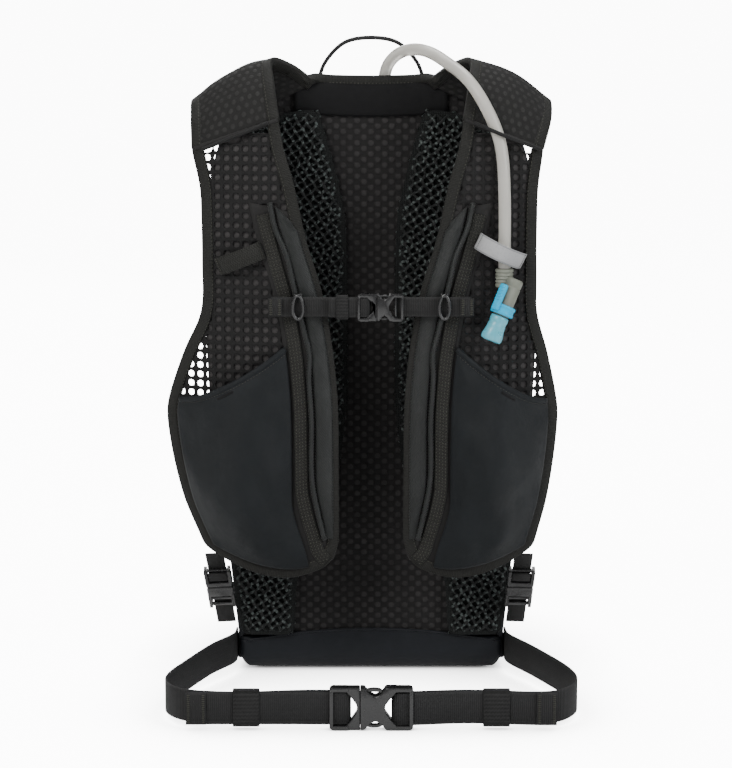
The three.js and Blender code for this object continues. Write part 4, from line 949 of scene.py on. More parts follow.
def build_bag(sizes):
    zip_gap = 0.035
    shell_piece("front_shell", -(ZIP_TURN - zip_gap), ZIP_TURN - zip_gap, lambda t: 28.4,
                lambda t: arch_height(t * 1.04) - 4.4, 64, 84, ("front_panel",))
    shell_piece("upper_shell", -math.pi / 2, math.pi / 2, lambda t: arch_height(t * 0.97) + 4.4,
                lambda t: SHELL_TOP, 100, 46, ("upper_panel",), 1.7)

    def cap(u, v):
        turn = lerp(-math.pi / 2, math.pi / 2, u)
        rim = shell_point(turn, SHELL_TOP, -1)
        x = rim.x * 1000
        near = at(clamp(x, -44, 44) if abs(x) < 44 else x, 3.4, HEIGHT - 1.6 - 0.1 * max(abs(x) - 44, 0))
        return rim.lerp(near, v) + Vector((0, 0, 0.0012 * math.sin(math.pi * clamp(v))))
    bm = sheet_mesh(cap, 60, 10, (120, 30))
    bmesh.ops.recalc_face_normals(bm, faces=bm.faces)
    thicken(finish_piece("top_cap", bm, FINISH["pack"], "root"), 1.4)
    for side, sign in SIDES:
        zs = [29.5 + i * (0.975 * HEIGHT - 29.5) / 110 for i in range(111)]
        seam = [at(sign * (bag_half_width(z) - 1.5), 4.4, z) for z in zs]
        facing = []
        for a, b in zip([seam[0]] + seam[:-1], seam[1:] + [seam[-1]]):
            facing.append(Vector((sign, 0, -(b.x - a.x) * sign / max(b.z - a.z, 1e-6))).normalized())
        finish_piece("side_binding_" + side, sweep_mesh(seam, facing, tape_section(12, 4.2)), FINISH["pack"], "root")
    for side, sign in SIDES:
        low, high = (-math.pi / 2, -ZIP_TURN - zip_gap) if sign < 0 else (ZIP_TURN + zip_gap, math.pi / 2)
        shell_piece("side_shell_" + side, low, high, lambda t: 28.4, lambda t: ZIP_SHOULDER + 4, 30, 60,
                    ("side_panel_" + side,))
    # zip tape and its coil
    places = [zip_route(i / 220) for i in range(221)]
    normals = [shell_normal(*p) for p in places]
    line = [shell_point(*p) + n * 0.0018 for p, n in zip(places, normals)]
    tape = sweep_mesh([p - n * 0.0008 for p, n in zip(line, normals)], normals, tape_section(8.6, 2.4))
    finish_piece("main_zip_tape", tape, FINISH["zip"], "root", ("main_zip_chain",))
    coil = bmesh.new()
    coil.loops.layers.uv.new("weave")
    for (a, b), n in zip(zip(line, line[1:]), normals):
        for share in (0.0, 0.5):
            tangent = (b - a).normalized()
            side = n.cross(tangent).normalized()
            spot = a.lerp(b, share) + n * 0.00055
            basis = Matrix((tangent * 0.00055, side * 0.0021, n * 0.00055)).transposed().to_4x4()
            bmesh.ops.create_icosphere(coil, subdivisions=1, radius=1, matrix=Matrix.Translation(spot) @ basis)
    finish_piece("main_zip_coil", coil, FINISH["coil"], "root")
    rows = None
    for offset in (5.6, -5.6):
        row = []
        for p, n, i in zip(line, normals, range(len(line))):
            tangent = (line[min(i + 1, 220)] - line[max(i - 1, 0)]).normalized()
            row.append(p + n.cross(tangent).normalized() * offset / 1000 - n * 0.0012)
        rows = stitch_mesh(rows, row, normals, 3.2, 2.2)
    for sign in (-1, 1):
        zs = [34 + i * 4 for i in range(105)]
        seam = [shell_point(sign * (math.pi / 2 - 0.02), z, 0.2) for z in zs]
        rows = stitch_mesh(rows, seam, [Vector((sign, 0, 0))] * len(seam), 3.2, 2.2)
    for side, sign in SIDES:
        zs = [28.8 + i * (ZIP_FOOT - 24) / 30 for i in range(31)]
        seam = [shell_point(sign * ZIP_TURN, z, 0.3) for z in zs]
        facing = [shell_normal(sign * ZIP_TURN, z) for z in zs]
        finish_piece("zip_foot_seam_" + side, sweep_mesh(seam, facing, tape_section(11, 2.4)), FINISH["pack"], "root")
    # front pocket
    turn_half, foot, crown = math.radians(36), 0.16 * HEIGHT, 0.6 * HEIGHT

    def stash(u, v):
        turn, z = lerp(-turn_half, turn_half, u), lerp(foot, crown, v)
        swell = math.sin(math.pi * clamp(u) ** 1.15) * math.sin(math.pi * clamp(v) ** 1.15)
        crease = noise.noise(Vector((turn * 4, z / 40, 9))) * 1.8 * swell
        return shell_point(turn, z, 1.4 + 15.5 * swell ** 0.8 + crease)
    bm = sheet_mesh(stash, 72, 64, (160, 211))
    bmesh.ops.reverse_faces(bm, faces=bm.faces)
    thicken(finish_piece("front_stash_pocket", bm, FINISH["pack"], "root", ("front_pocket",)), 1.8)
    zip_z = crown + 6
    turns = [lerp(turn_half, -turn_half, i / 60) for i in range(61)]
    normals = [shell_normal(t, zip_z) for t in turns]
    line = [shell_point(t, zip_z, 1.2) for t in turns]
    finish_piece("pocket_zip_tape", sweep_mesh(line, normals, tape_section(8, 1.1)), FINISH["zip"], "root",
                 ("front_pocket_zip_chain",))
    coil = bmesh.new()
    coil.loops.layers.uv.new("weave")
    for (a, b), n in zip(zip(line, line[1:]), normals):
        for share in (0.0, 0.5):
            tangent = (b - a).normalized()
            side = n.cross(tangent).normalized()
            spot = a.lerp(b, share) + n * 0.0006
            basis = Matrix((tangent * 0.0006, side * 0.0018, n * 0.0005)).transposed().to_4x4()
            bmesh.ops.create_icosphere(coil, subdivisions=1, radius=1, matrix=Matrix.Translation(spot) @ basis)
    finish_piece("pocket_zip_coil", coil, FINISH["coil"], "root")
    edge = [(0.02, v / 60) for v in range(61)] + [(u / 60, 0.02) for u in range(61)] + [
        (0.98, v / 60) for v in range(61)]
    for part in (edge[:61], edge[61:122], edge[122:]):
        row = [stash(u, v) for u, v in part]
        facing = [shell_normal(lerp(-turn_half, turn_half, u), lerp(foot, crown, v)) for u, v in part]
        rows = stitch_mesh(rows, [p + n * 0.0011 for p, n in zip(row, facing)], facing, 3.2, 2.2)
    finish_piece("bag_stitching", rows, FINISH["thread"], "root")


def base_outline(z, inset):
    """The base's plan at a height, rounded in towards the floor."""
    points = []
    for i in range(49):
        turn = lerp(-math.pi / 2, math.pi / 2, i / 48)
        p = shell_point(turn, 28)
        x = p.x * (1 - inset / bag_half_width(28))
        depth = bag_depth_shape(28) + SLIT
        y = (p.y * 1000 - PANEL) * (1 - 2 * inset / depth) + inset
        points.append(at(x * 1000, max(y, inset), z))
    return points


def build_base(sizes):
    rounding = 16
    levels = [(28, 0.0)] + [(z, 0.0) for z in (24, 20, 16.5)]
    for i in range(1, 9):
        angle = math.pi / 2 * i / 8
        levels.append((rounding * (1 - math.sin(angle)), rounding * (1 - math.cos(angle))))
    rows = [base_outline(z, inset) for z, inset in levels]
    loops = []
    for row in rows:
        front = [row[-1].lerp(row[0], i / 24) for i in range(1, 24)]
        loops.append(row + front)
    count = len(loops[0])
    bm = bmesh.new()
    bm.loops.layers.uv.new("weave")
    bmesh.ops.create_grid(bm, x_segments=count, y_segments=len(loops) - 1, size=0.5)
    for vert in bm.verts:
        i, j = round((vert.co.x + 0.5) * count) % count, round((vert.co.y + 0.5) * (len(loops) - 1))
        vert.co = loops[j][i]
    bmesh.ops.remove_doubles(bm, verts=bm.verts, dist=1e-7)
    low = [e for e in bm.edges if e.is_boundary and all(v.co.z < 0.001 for v in e.verts)]
    made = bmesh.ops.holes_fill(bm, edges=low, sides=0)["faces"]
    bmesh.ops.triangulate(bm, faces=made)
    bmesh.ops.recalc_face_normals(bm, faces=bm.faces)
    base = finish_piece("base_boot", bm, FINISH["base"], "root", ("base_panel",))
    wall = base.modifiers.new("Wall", "SOLIDIFY")
    wall.thickness, wall.offset = 0.002, -1

    # the boot's cloth rises over the foot of the back panel in a shallow curve
    def rise(x):
        return 24.5 + 10.5 * (1 - (x / 106) ** 2)

    def boot(u, v):
        x = lerp(-bag_half_width(28) + 0.8, bag_half_width(28) - 0.8, u)
        z = lerp(rise(clamp(x, -101, 101)), 3.2, v)
        share = clamp((rounding - z) / rounding)
        inset = rounding * (1 - math.sqrt(max(1 - share * share, 0)))
        x *= 1 - inset / bag_half_width(28)
        return at(x, -1.5 + inset - 0.9 * math.sin(math.pi * clamp(v * 1.2)) * smoothstep(z, 3, 12), z)
    front = finish_piece("boot_front", sheet_mesh(boot, 60, 20, (210, 33)), FINISH["base"], "root")
    thicken(front, 1.2)
    line = [at(x, -1.9, rise(x)) for x in range(-101, 102, 3)]
    cord = sweep_mesh(line, Vector((0, -1, 0)), round_section(1.1, 8))
    finish_piece("boot_piping", cord, FINISH["base"], "root")
    seam = [shell_point(lerp(-math.pi / 2, math.pi / 2, i / 90), 28.6, 0.3) for i in range(91)]
    facing = [shell_normal(lerp(-1.5, 1.5, i / 90), 30) for i in range(91)]
    finish_piece("base_piping", sweep_mesh(seam, facing, round_section(1.3, 8)), FINISH["base"], "root")


def pad_outline(sign):
    outer = [(0.8, 0.066), (0.85, 0.16), (0.9, 0.36), (0.93, 0.6), (0.92, 0.78), (0.86, 0.885)]
    inner = [(0.72, 0.92), (0.5, 0.945), (0.32, 0.95), (0.215, 0.85), (0.16, 0.78), (0.145, 0.7), (0.145, 0.46),
             (0.19, 0.36), (0.33, 0.24), (0.46, 0.16), (0.475, 0.066)]
    return [(sign * x * HALF, h * HEIGHT) for x, h in outer + inner]


def inside_outline(outline, x, z):
    hit = False
    for (x0, z0), (x1, z1) in zip(outline, outline[1:] + outline[:1]):
        if (z0 > z) != (z1 > z) and x < x0 + (z - z0) * (x1 - x0) / (z1 - z0):
            hit = not hit
    return hit


def edge_distance(outline, x, z):
    best = 1e9
    for (x0, z0), (x1, z1) in zip(outline, outline[1:] + outline[:1]):
        dx, dz = x1 - x0, z1 - z0
        t = clamp(((x - x0) * dx + (z - z0) * dz) / (dx * dx + dz * dz))
        best = min(best, math.hypot(x - x0 - t * dx, z - z0 - t * dz))
    return best


def smoothed_outline(outline, step, passes=2):
    """The closed outline at even steps, its corners eased."""
    points = []
    for (x0, z0), (x1, z1) in zip(outline, outline[1:] + outline[:1]):
        count = max(round(math.hypot(x1 - x0, z1 - z0) / step), 1)
        points += [(lerp(x0, x1, i / count), lerp(z0, z1, i / count)) for i in range(count)]
    for _ in range(passes):
        points = [tuple((a + 2 * b + c) / 4 for a, b, c in zip(p, q, r))
                  for p, q, r in zip(points[-1:] + points[:-1], points, points[1:] + points[:1])]
    return points


def net_mesh(outline, crown, pitch):
    """Strands that cross over and under each other on the crowned face of a pad."""
    low = (min(x for x, _ in outline), min(z for _, z in outline))
    high = (max(x for x, _ in outline), max(z for _, z in outline))
    middle = ((low[0] + high[0]) / 2, (low[1] + high[1]) / 2)
    reach = math.hypot(high[0] - low[0], high[1] - low[1]) / 2
    bm = bmesh.new()
    bm.loops.layers.uv.new("weave")
    for family, turn in enumerate((0.62, -0.98)):
        along_x, along_z = math.cos(turn), math.sin(turn)
        rows = math.ceil(reach / pitch)
        for row in range(-rows, rows + 1):
            run = []
            steps = math.ceil(reach / (pitch / 2))
            for i in range(-steps, steps + 2):
                s = i * pitch / 2
                bow = 0.55 * math.sin(s / pitch * math.pi + row * math.pi)
                x = middle[0] + s * along_x - (row * pitch + bow) * along_z
                z = middle[1] + s * along_z + (row * pitch + bow) * along_x
                if i <= steps and inside_outline(outline, x, z):
                    over = 0.55 * math.cos(s / pitch * math.pi + (row + family) * math.pi)
                    loose = 0.5 * noise.noise(Vector((x / 5, z / 5, family * 7)))
                    run.append(at(x, -0.9 - 8.6 * crown(x, z) ** 0.6 - over - loose, z))
                else:
                    if len(run) > 2:
                        sweep_mesh(run, Vector((0, -1, 0)), round_section(1.16 + 0.12 * (row % 3), 5), bm)
                    run = []
    return bm


def build_back(sizes):
    """Back panel, its neck edge and slit, the two pads and the haul loop."""
    heights = [0.062, 0.12, 0.19, 0.25, 0.31, 0.42, 0.52, 0.6, 0.69, 0.77, 0.83, 0.88, 0.917, 0.94, 0.962, 0.98]
    edge = []
    for h in heights:
        z = h * HEIGHT
        slope = (bag_half_width(z + 1) - bag_half_width(z - 1)) / 2
        edge.append((bag_half_width(z) - 3.6 * math.hypot(1, slope), z))
    edge.append((45, HEIGHT - 1))
    side = profile([(z, x) for x, z in edge])

    def board(u, v):
        z = lerp(29.8, HEIGHT - 1, v)
        x = lerp(-side(z), side(z), u)
        ripple = noise.noise(Vector((x / 45, z / 60, 1))) * 0.7 * smoothstep(min(u, 1 - u), 0, 0.2)
        return at(x, 2.0 + ripple, z)
    bm = sheet_mesh(board, 60, 100, (250, 450))
    thicken(finish_piece("back_mesh", bm, FINISH["dimple"], "root", ("back_panel",)), 4)
    neck = [at(x, 2 - 1.6 * (1 - (x / 46) ** 2), HEIGHT - 0.8 - 1.2 * (1 - (x / 46) ** 2)) for x in range(-38, 39, 4)]
    ends = {sign: [shoulder_point(sign, 0.05, v) + Vector((0, 0, -0.0006)) for v in (0.26, 0.2, 0.14, 0.08)]
            for _, sign in SIDES}
    rim = route(ends[-1] + [at(-43.5, -1.2, HEIGHT - 0.4)] + neck[1:-1] + [at(43.5, -1.2, HEIGHT - 0.4)]
                + ends[1][::-1], 0.003)
    faces = []
    for p in rim:
        share = smoothstep(abs(p.x) * 1000, 28, 76)
        sign = 1 if p.x > 0 else -1
        faces.append(Vector((0, -1, 0.25)).normalized().lerp(shoulder_normal(sign, 0.05, 0.2), share).normalized())
    finish_piece("neck_binding", sweep_mesh(rim, faces, tape_section(7.2, 5.0)), FINISH["grosgrain"])
    slit = [at(x, -0.5, 470.2) for x in range(-26, 27, 4)]
    finish_piece("sleeve_slit", sweep_mesh(slit, Vector((0, -1, 0)), tape_section(2.6, 0.9)), FINISH["herringbone"])
    rows = stitch_mesh(None, [p + Vector((0, -0.003, -0.0022)) for p in neck], Vector((0, -1, 0)), 2.8)

    # neck collar: a fabric piece whose near-black colour is partly painted shade, the shadow under the shoulder yoke
    def collar(u, v):
        x = lerp(-60, 60, u)
        top = HEIGHT - 4 + 1.5 * (abs(x) / 60) ** 2
        low = 0.943 * HEIGHT - 2.6 * (1 - (x / 60) ** 2)
        return at(x, -1.1 - 1.8 * math.sin(math.pi * clamp(v)) ** 0.6, lerp(top, low, v))
    thicken(finish_piece("neck_collar", sheet_mesh(collar, 40, 14, (120, 26)), FINISH["lining_and_painted_shade"]), 1.4)

    for name, sign in SIDES:
        outline = pad_outline(sign)
        soft = smoothed_outline(outline, 4, 4)

        def crown(x, z):
            return 1 - (1 - clamp(edge_distance(outline, x, z) / 12)) ** 2
        bm = bmesh.new()
        bm.loops.layers.uv.new("weave")
        inner = bm.faces.new([bm.verts.new(at(x, -0.3, z)) for x, z in soft])
        bmesh.ops.inset_region(bm, faces=[inner], thickness=0.0022, use_even_offset=True)
        rim = [f for f in bm.faces if f != inner]
        bmesh.ops.delete(bm, geom=rim, context="FACES")
        for inset, lift in ((0.5, 1.9), (1.6, 2.0), (2.6, 1.5), (4.2, 1.2), (6.0, 0.5)):
            bmesh.ops.inset_region(bm, faces=[inner], thickness=inset / 1000, use_even_offset=True)
            for vert in inner.verts:
                vert.co.y -= lift / 1000
        bmesh.ops.triangulate(bm, faces=[inner])
        bmesh.ops.holes_fill(bm, edges=[e for e in bm.edges if e.is_boundary], sides=0)
        bmesh.ops.recalc_face_normals(bm, faces=bm.faces)
        pad = finish_piece("pad_core_" + name, bm, FINISH["core"], "root", ("back_pad_" + name,))
        finish_piece("pad_net_" + name, net_mesh(outline, crown, sizes.net_pitch), FINISH["net"], "root")
    finish_piece("neck_stitching", rows, FINISH["thread"], "root")

    arch = [(-1, 0), (-0.97, 0.2), (-0.86, 0.51), (-0.5, 0.9), (0, 1), (0.5, 0.9), (0.86, 0.51), (0.97, 0.2), (1, 0)]
    points = route([at(x * 42, 10.65, 472 + h * 39) for x, h in arch], 0.003)
    normals = []
    for i, p in enumerate(points):
        tangent = (points[min(i + 1, len(points) - 1)] - points[max(i - 1, 0)]).normalized()
        normals.append(Vector((0, 1, 0)).cross(tangent).normalized())
    finish_piece("haul_tape", sweep_mesh(points, normals, tape_section(12.5, 3.0)), FINISH["webbing"], "root",
                 ("haul_loop",))


# ---------------------------------------------------------------- harness wings

def wing_outline(sign):
    outline = [wing_place(sign, 0, i / 60) for i in range(60)]
    outline += [wing_place(sign, i / 40, 1) for i in range(40)]
    outline += [wing_place(sign, 1, 1 - i / 60) for i in range(61)]
    return outline


def inset_line(line, sign, inset):
    """A line in x, z moved towards the wing's inside."""
    moved = []
    for i, (x, z) in enumerate(line):
        (x0, z0), (x1, z1) = line[max(i - 1, 0)], line[min(i + 1, len(line) - 1)]
        reach = math.hypot(x1 - x0, z1 - z0)
        moved.append((x - sign * (z1 - z0) / reach * inset, z + sign * (x1 - x0) / reach * inset))
    return moved


def on_wing(line, forward):
    return [wing_at(x, z, forward) for x, z in line], [wing_normal(x, z) for x, z in line]


def even_line(line, step, passes=3):
    points = []
    for (x0, z0), (x1, z1) in zip(line, line[1:]):
        count = max(round(math.hypot(x1 - x0, z1 - z0) / step), 1)
        points += [(lerp(x0, x1, i / count), lerp(z0, z1, i / count)) for i in range(count)]
    points.append(line[-1])
    for _ in range(passes):
        points = points[:1] + [tuple((a + 2 * b + c) / 4 for a, b, c in zip(p, q, r))
                               for p, q, r in zip(points, points[1:], points[2:])] + points[-1:]
    return points


def build_wings(sizes):
    stitches = None
    for name, sign in SIDES:
        outline = wing_outline(sign)
        closed = outline[:]

        def inside(x, z):
            if not inside_outline(closed, x, z) or edge_distance(closed, x, z) < 3.2:
                return False
            return not (z < 0.792 * HEIGHT and abs(x) < wing_inner(z) + 34)
        low = (min(x for x, _ in outline), min(z for _, z in outline))
        high = (max(x for x, _ in outline), max(z for _, z in outline))
        bm = lattice_mesh(low, high, sizes.hole_pitch, sizes.hole_pitch * 0.25, inside, lambda x, z: wing_at(x, z))
        net = finish_piece("wing_mesh_" + name, bm, FINISH["knit"], "root", ("harness_wing_" + name,))
        thicken(net, 1.5, 1)

        # a pale sheet just behind the wing mesh, painted light seen through its holes
        def backing(u, v):
            z = lerp(seam_height(0.5) + 2, 0.215 * HEIGHT, v)
            x = lerp(wing_inner(z) + 5, min(bag_half_width(z) - 3, wing_outer(z, sign) - 6), u)
            return wing_at(sign * x, max(z, wing_foot(clamp(u)) + 4), -1.7)
        bm = sheet_mesh(backing, 20, 70, (70, 340))
        thicken(finish_piece("wing_backing_" + name, bm, FINISH["backing"], "root"), 0.7)

        def facing(u, v):
            z = lerp(0.81 * HEIGHT, 0.2 * HEIGHT + 3, v)
            slant = 8 * (1 - u) * smoothstep(v, 0.1, 0)
            return wing_at(sign * (wing_inner(z) + lerp(1.5, 37, u)), max(z - slant, wing_foot(0.3 * u + 0.04) + 3))
        bm = sheet_mesh(facing, 12, 80, (36, 290))
        thicken(finish_piece("wing_facing_" + name, bm, FINISH["facing"], "root"), 2.4)

        rim = even_line(outline, 3.2)
        line = inset_line(rim, sign, 4.1)
        points, normals = on_wing(line, 0)
        finish_piece("wing_binding_" + name, sweep_mesh(points, normals, tape_section(9, 4.2)), FINISH["grosgrain"])
        points, normals = on_wing(inset_line(rim, sign, 7.4), 2.15)
        stitches = stitch_mesh(stitches, points, normals, sizes.stitch_pitch)

        # stitched tape, from the sleeve's head down to the wing's foot
        zs = [0.79, 0.72, 0.65, 0.6, 0.55, 0.48, 0.4, 0.34, 0.29, 0.26, 0.238]
        tape = []
        for h in zs:
            z = h * HEIGHT
            pull = smoothstep(h, 0.335, 0.238)
            tape.append((sign * (wing_inner(z) + lerp(28.4, 16.5, pull)), z))
        tape += [(sign * (wing_inner(0.225 * HEIGHT) + 9), 0.225 * HEIGHT)]
        tape = even_line(tape, 3, 6)
        points, normals = on_wing(tape, 2.6)
        finish_piece("stitched_tape_" + name, sweep_mesh(points, normals, tape_section(10.4, 1.2)),
                     FINISH["herringbone"])
        for inset in (-3.6, -1.2, 1.2, 3.6):
            points, normals = on_wing(inset_line(tape, sign, inset), 3.3)
            stitches = stitch_mesh(stitches, points, normals, sizes.stitch_pitch, 1.5, 0.36)

        def sleeve(u, v):
            z = lerp(0.805, 0.262, v) * HEIGHT
            widening = smoothstep(z, 0.26 * HEIGHT, 0.36 * HEIGHT)
            x = sign * (wing_inner(z) + 4.2 + 13.4 * lerp(0.42, 1, widening) * u)
            slant = 13 * (1 - u) * smoothstep(v, 0.09, 0)
            crease = 0.4 * noise.noise(Vector((u * 1.2, z / 40, 3 + sign)))
            roll = math.sin(math.pi * clamp(u)) ** 0.6 * smoothstep(min(v * 14, (1 - v) * 12), 0, 1)
            return wing_at(x, z - slant, 2.1 + (2.4 + crease) * roll)
        bm = sheet_mesh(sleeve, 16, 120, (15, 262))
        thicken(finish_piece("satin_sleeve_" + name, bm, FINISH["satin"], "root", ("strap_sleeve_" + name,)), 1.0)

        rail = frame_rail(sign)
        facing_out = [Vector((0, -1, 0))] * len(rail)
        finish_piece("piping_" + name, sweep_mesh(rail, facing_out, round_section(2.0, 14)), FINISH["satin"], "root",
                     ("piping_rail_" + name,))
        build_pocket(name, sign)
    finish_piece("wing_stitching", stitches, FINISH["thread"], "root")


def frame_rail(sign):
    """The rail's own line, as the frame has it."""
    points = []
    for h in (0.262, 0.36, 0.46, 0.53):
        z = h * HEIGHT
        x = sign * (wing_inner(z) + lerp(0.5, 0.92, min((h - 0.262) / 0.1, 1)) * 22)
        points.append(wing_at(x, z, 4.5))
    for i in range(5):
        z = lerp(272, 348, i / 4)
        points.append(at(sign * (wing_inner(310) + 20 + 0.224 * (z - 310)), -REACH - 4.5, z))
    for h in (0.77, 0.81):
        z = h * HEIGHT
        points.append(wing_at(sign * (wing_inner(z) + 0.95 * 22), z, 4.5))
    return [along(points, i / 120) for i in range(121)]


def build_pocket(name, sign):
    def soft(u, v):
        u = u * 0.935
        x, z, off = pocket_place(sign, u, v * 0.98)
        edge = smoothstep(min(u, 1 - u, v * 1.2, (1 - v) * 1.2), 0, 0.16)
        spot = Vector((x / 38, z / 60, 5 + sign))
        fold = noise.noise(spot) * 3.6 + noise.noise(spot * 2.4) * 1.7
        wander = 2.2 * noise.noise(spot * 1.2)
        fold += 0.9 * math.sin((x * sign * 0.75 - z * 0.6) / 11 + wander) * smoothstep(v, 0.1, 0.6)
        gather = math.sin(x / 7.5 + 2.4 * noise.noise(spot * 1.7)) * 0.9 * smoothstep(v, 0.55, 0.97)
        pull = math.sin((x * 0.8 + z * 0.55) / 9) * 0.45 * smoothstep(v, 0.25, 0) * smoothstep(u, 0.5, 0)
        return wing_at(x, z, off + (fold + gather + pull) * edge * 1.35)
    bm = sheet_mesh(soft, 72, 90, (85, 165))
    pocket = finish_piece("stretch_pocket_" + name, bm, FINISH["stretch"], "root", ("wing_pocket_" + name,))
    thicken(pocket, 1.1)
    # painted shade: a near-black strip where the pocket's slit opens, standing for the shaded opening
    slit = [soft(0.52 + i * 0.011, 0.052 + 0.0005 * i) + Vector((0, -0.0009, 0)) for i in range(13)]
    finish_piece("pocket_slit_" + name, sweep_mesh(slit, Vector((0, -1, 0)), tape_section(2.2, 0.7)),
                 FINISH["lining_and_painted_shade"])
    hem = [soft(i / 60, 0.012) + Vector((0, -0.0006, 0)) for i in range(61)]
    normals = [wing_normal(*pocket_place(sign, i / 60, 0)[:2]) for i in range(61)]
    finish_piece("pocket_hem_" + name, sweep_mesh(hem, normals, tape_section(4.2, 1.6)), FINISH["stretch"])
    line = [soft(i / 60, 0.035) + normals[i] * 0.0008 for i in range(1, 60)]
    rows = stitch_mesh(None, line, normals[1:], 2.6, 1.5, 0.22)
    finish_piece("pocket_stitching_" + name, rows, FINISH["thread"], "root")


def build_shoulders(sizes):
    stitches = None
    for name, sign in SIDES:
        def pad(u, v):
            point = shoulder_point(sign, u, v)
            normal = shoulder_normal(sign, u, v)
            soft = noise.noise(Vector((u * 2.4, v * 2.2, sign))) * 1.3
            puff = math.sin(math.pi * clamp(u)) ** 0.6 * math.sin(math.pi * clamp(v)) ** 0.4
            return point + normal * (soft + 1.2) * puff * 0.0012
        bm = sheet_mesh(pad, 30, 56, (70, 118))
        pad = finish_piece("shoulder_pad_" + name, bm, FINISH["spacer"], "root", ("shoulder_" + name,))
        thicken(pad, 3.6)
        for label, u in (("inner", 0.055), ("outer", 0.945)):
            line = [shoulder_point(sign, u, i / 50) for i in range(51)]
            normals = [shoulder_normal(sign, u, i / 50) for i in range(51)]
            finish_piece(f"shoulder_binding_{label}_{name}", sweep_mesh(line, normals, tape_section(9, 5.2)),
                         FINISH["grosgrain"])
            v = u + (0.04 if u < 0.5 else -0.04)
            row = [shoulder_point(sign, v, i / 50) + shoulder_normal(sign, v, i / 50) * 0.0026 for i in range(51)]
            stitches = stitch_mesh(stitches, row, [shoulder_normal(sign, v, i / 50) for i in range(51)],
                                   sizes.stitch_pitch)
        cord = frame_cord(sign)
        finish_piece("keeper_cord_" + name, sweep_mesh(cord, Vector((0, -1, 0)), round_section(1.5, 12)),
                     FINISH["elastic"], "root", ("shoulder_cord_" + name,))
        seam = [shoulder_point(sign, i / 30, 1) + Vector((0, -0.0012, 0)) for i in range(31)]
        normals = [wing_normal(*wing_place(sign, i / 30, 0)) for i in range(31)]
        finish_piece("shoulder_seam_" + name, sweep_mesh(seam, normals, tape_section(3.4, 3.0)), FINISH["facing"])
    finish_piece("shoulder_stitching", stitches, FINISH["thread"], "root")


def frame_cord(sign):
    points = []
    for t in (0, 0.25, 0.5, 0.75, 1):
        x, z = lerp(0.6, 0.985, t) * HALF, lerp(0.935, 0.892, t) * HEIGHT
        lift = max(sign * math.exp(-(((x - 0.763 * HALF) / 16) ** 2)), 0) * 12.7
        points.append(wing_at(sign * x, z, 3.4 + lift + 1.6))
    return [along(points, i / 60) for i in range(61)]


def loop_line(sign, outer, inner, bump, count=44):
    points, normals = [], []
    for i in range(count + 1):
        t = i / count
        x, z = lerp(outer[0], inner[0], t) * HALF, lerp(outer[1], inner[1], t) * HEIGHT
        rise = 1.5 + 0.4 + 0.6 + bump * math.sin(math.pi * t) ** 0.55
        points.append(wing_at(sign * x, z, rise))
    for i in range(count + 1):
        tangent = (points[min(i + 1, count)] - points[max(i - 1, 0)]).normalized()
        across = Vector((outer[1] * HEIGHT - inner[1] * HEIGHT, 0, -(outer[0] - inner[0]) * HALF)).normalized()
        across = Vector((across.x * sign, 0, across.z))
        normal = tangent.cross(across)
        normals.append(normal if normal.y < 0 else -normal)
    return points, normals


def bar_tack(bm, centre, along_way, normal, width, count=9):
    """A dense zigzag of thread across a tape."""
    side = normal.cross(along_way).normalized()
    for i in range(count):
        spot = centre + side * (i / (count - 1) - 0.5) * width / 1000
        basis = Matrix((along_way * 0.0014, side * 0.00042, normal * 0.00035)).transposed().to_4x4()
        bmesh.ops.create_icosphere(bm, subdivisions=1, radius=1, matrix=Matrix.Translation(spot) @ basis)
    return bm


def build_loops(sizes):
    tacks = bmesh.new()
    tacks.loops.layers.uv.new("weave")
    for name, sign, outer, inner, width, bump, finish, node in (
        ("gear_tape", -1, (0.9, 0.705), (0.635, 0.735), 14, 7, "herringbone", "gear_loop_left"),
        ("hose_label", 1, (0.89, 0.714), (0.62, 0.75), 13, 19.5, "label", "hose_loop_right"),
    ):
        points, normals = loop_line(sign, outer, inner, bump)
        finish_piece(name, sweep_mesh(points, normals, tape_section(width, 1.1)), FINISH[finish], "root", (node,))
        for near in (2, -3):
            bar_tack(tacks, points[near] + normals[near] * 0.0007, (points[1] - points[0]).normalized(),
                     normals[near], width * 0.86)
    finish_piece("loop_tacks", tacks, FINISH["thread"], "root")


# ---------------------------------------------------------------- straps

WEB = 1.6
LAYER = 1.1 + 0.4 + WEB / 2
STERNUM_Y = -REACH - 4.5 - 2.2 - 0.5 - 1.5 - (WEB + 1) / 2 - LAYER
SHIFT = 7


def fold_points(half, bars, window, back_end, tail_end):
    """A strap's way behind a buckle, round its inner bar and back in front, as (x, y) in the buckle's frame."""
    fold = -half + 2 * bars + window + 0.4
    bend = [(fold + LAYER * math.sin(math.pi * t), LAYER * math.cos(math.pi * t)) for t in (0.25, 0.5, 0.75)]
    return [(back_end, LAYER), (lerp(back_end, fold, 0.6), LAYER), (fold, LAYER), *bend, (fold, -LAYER),
            (lerp(fold, tail_end, 0.4), -LAYER), (tail_end, -LAYER)]


def strap_piece(name, plan, place, width, material, body, nodes=(), wall=WEB, step=0.003):
    """A strap that runs through plan, (x, y) places in a buckle's own frame, which place puts in the pack's."""
    points = route([place(x, y, 0) for x, y in plan], step)
    up = (place(0, 0, 1) - place(0, 0, 0)).normalized()
    normals = []
    for i in range(len(points)):
        tangent = (points[min(i + 1, len(points) - 1)] - points[max(i - 1, 0)]).normalized()
        normals.append(up.cross(tangent).normalized())
    bm = sweep_mesh(points, normals, tape_section(width, wall))
    return finish_piece(name, bm, material, body, nodes), points, normals


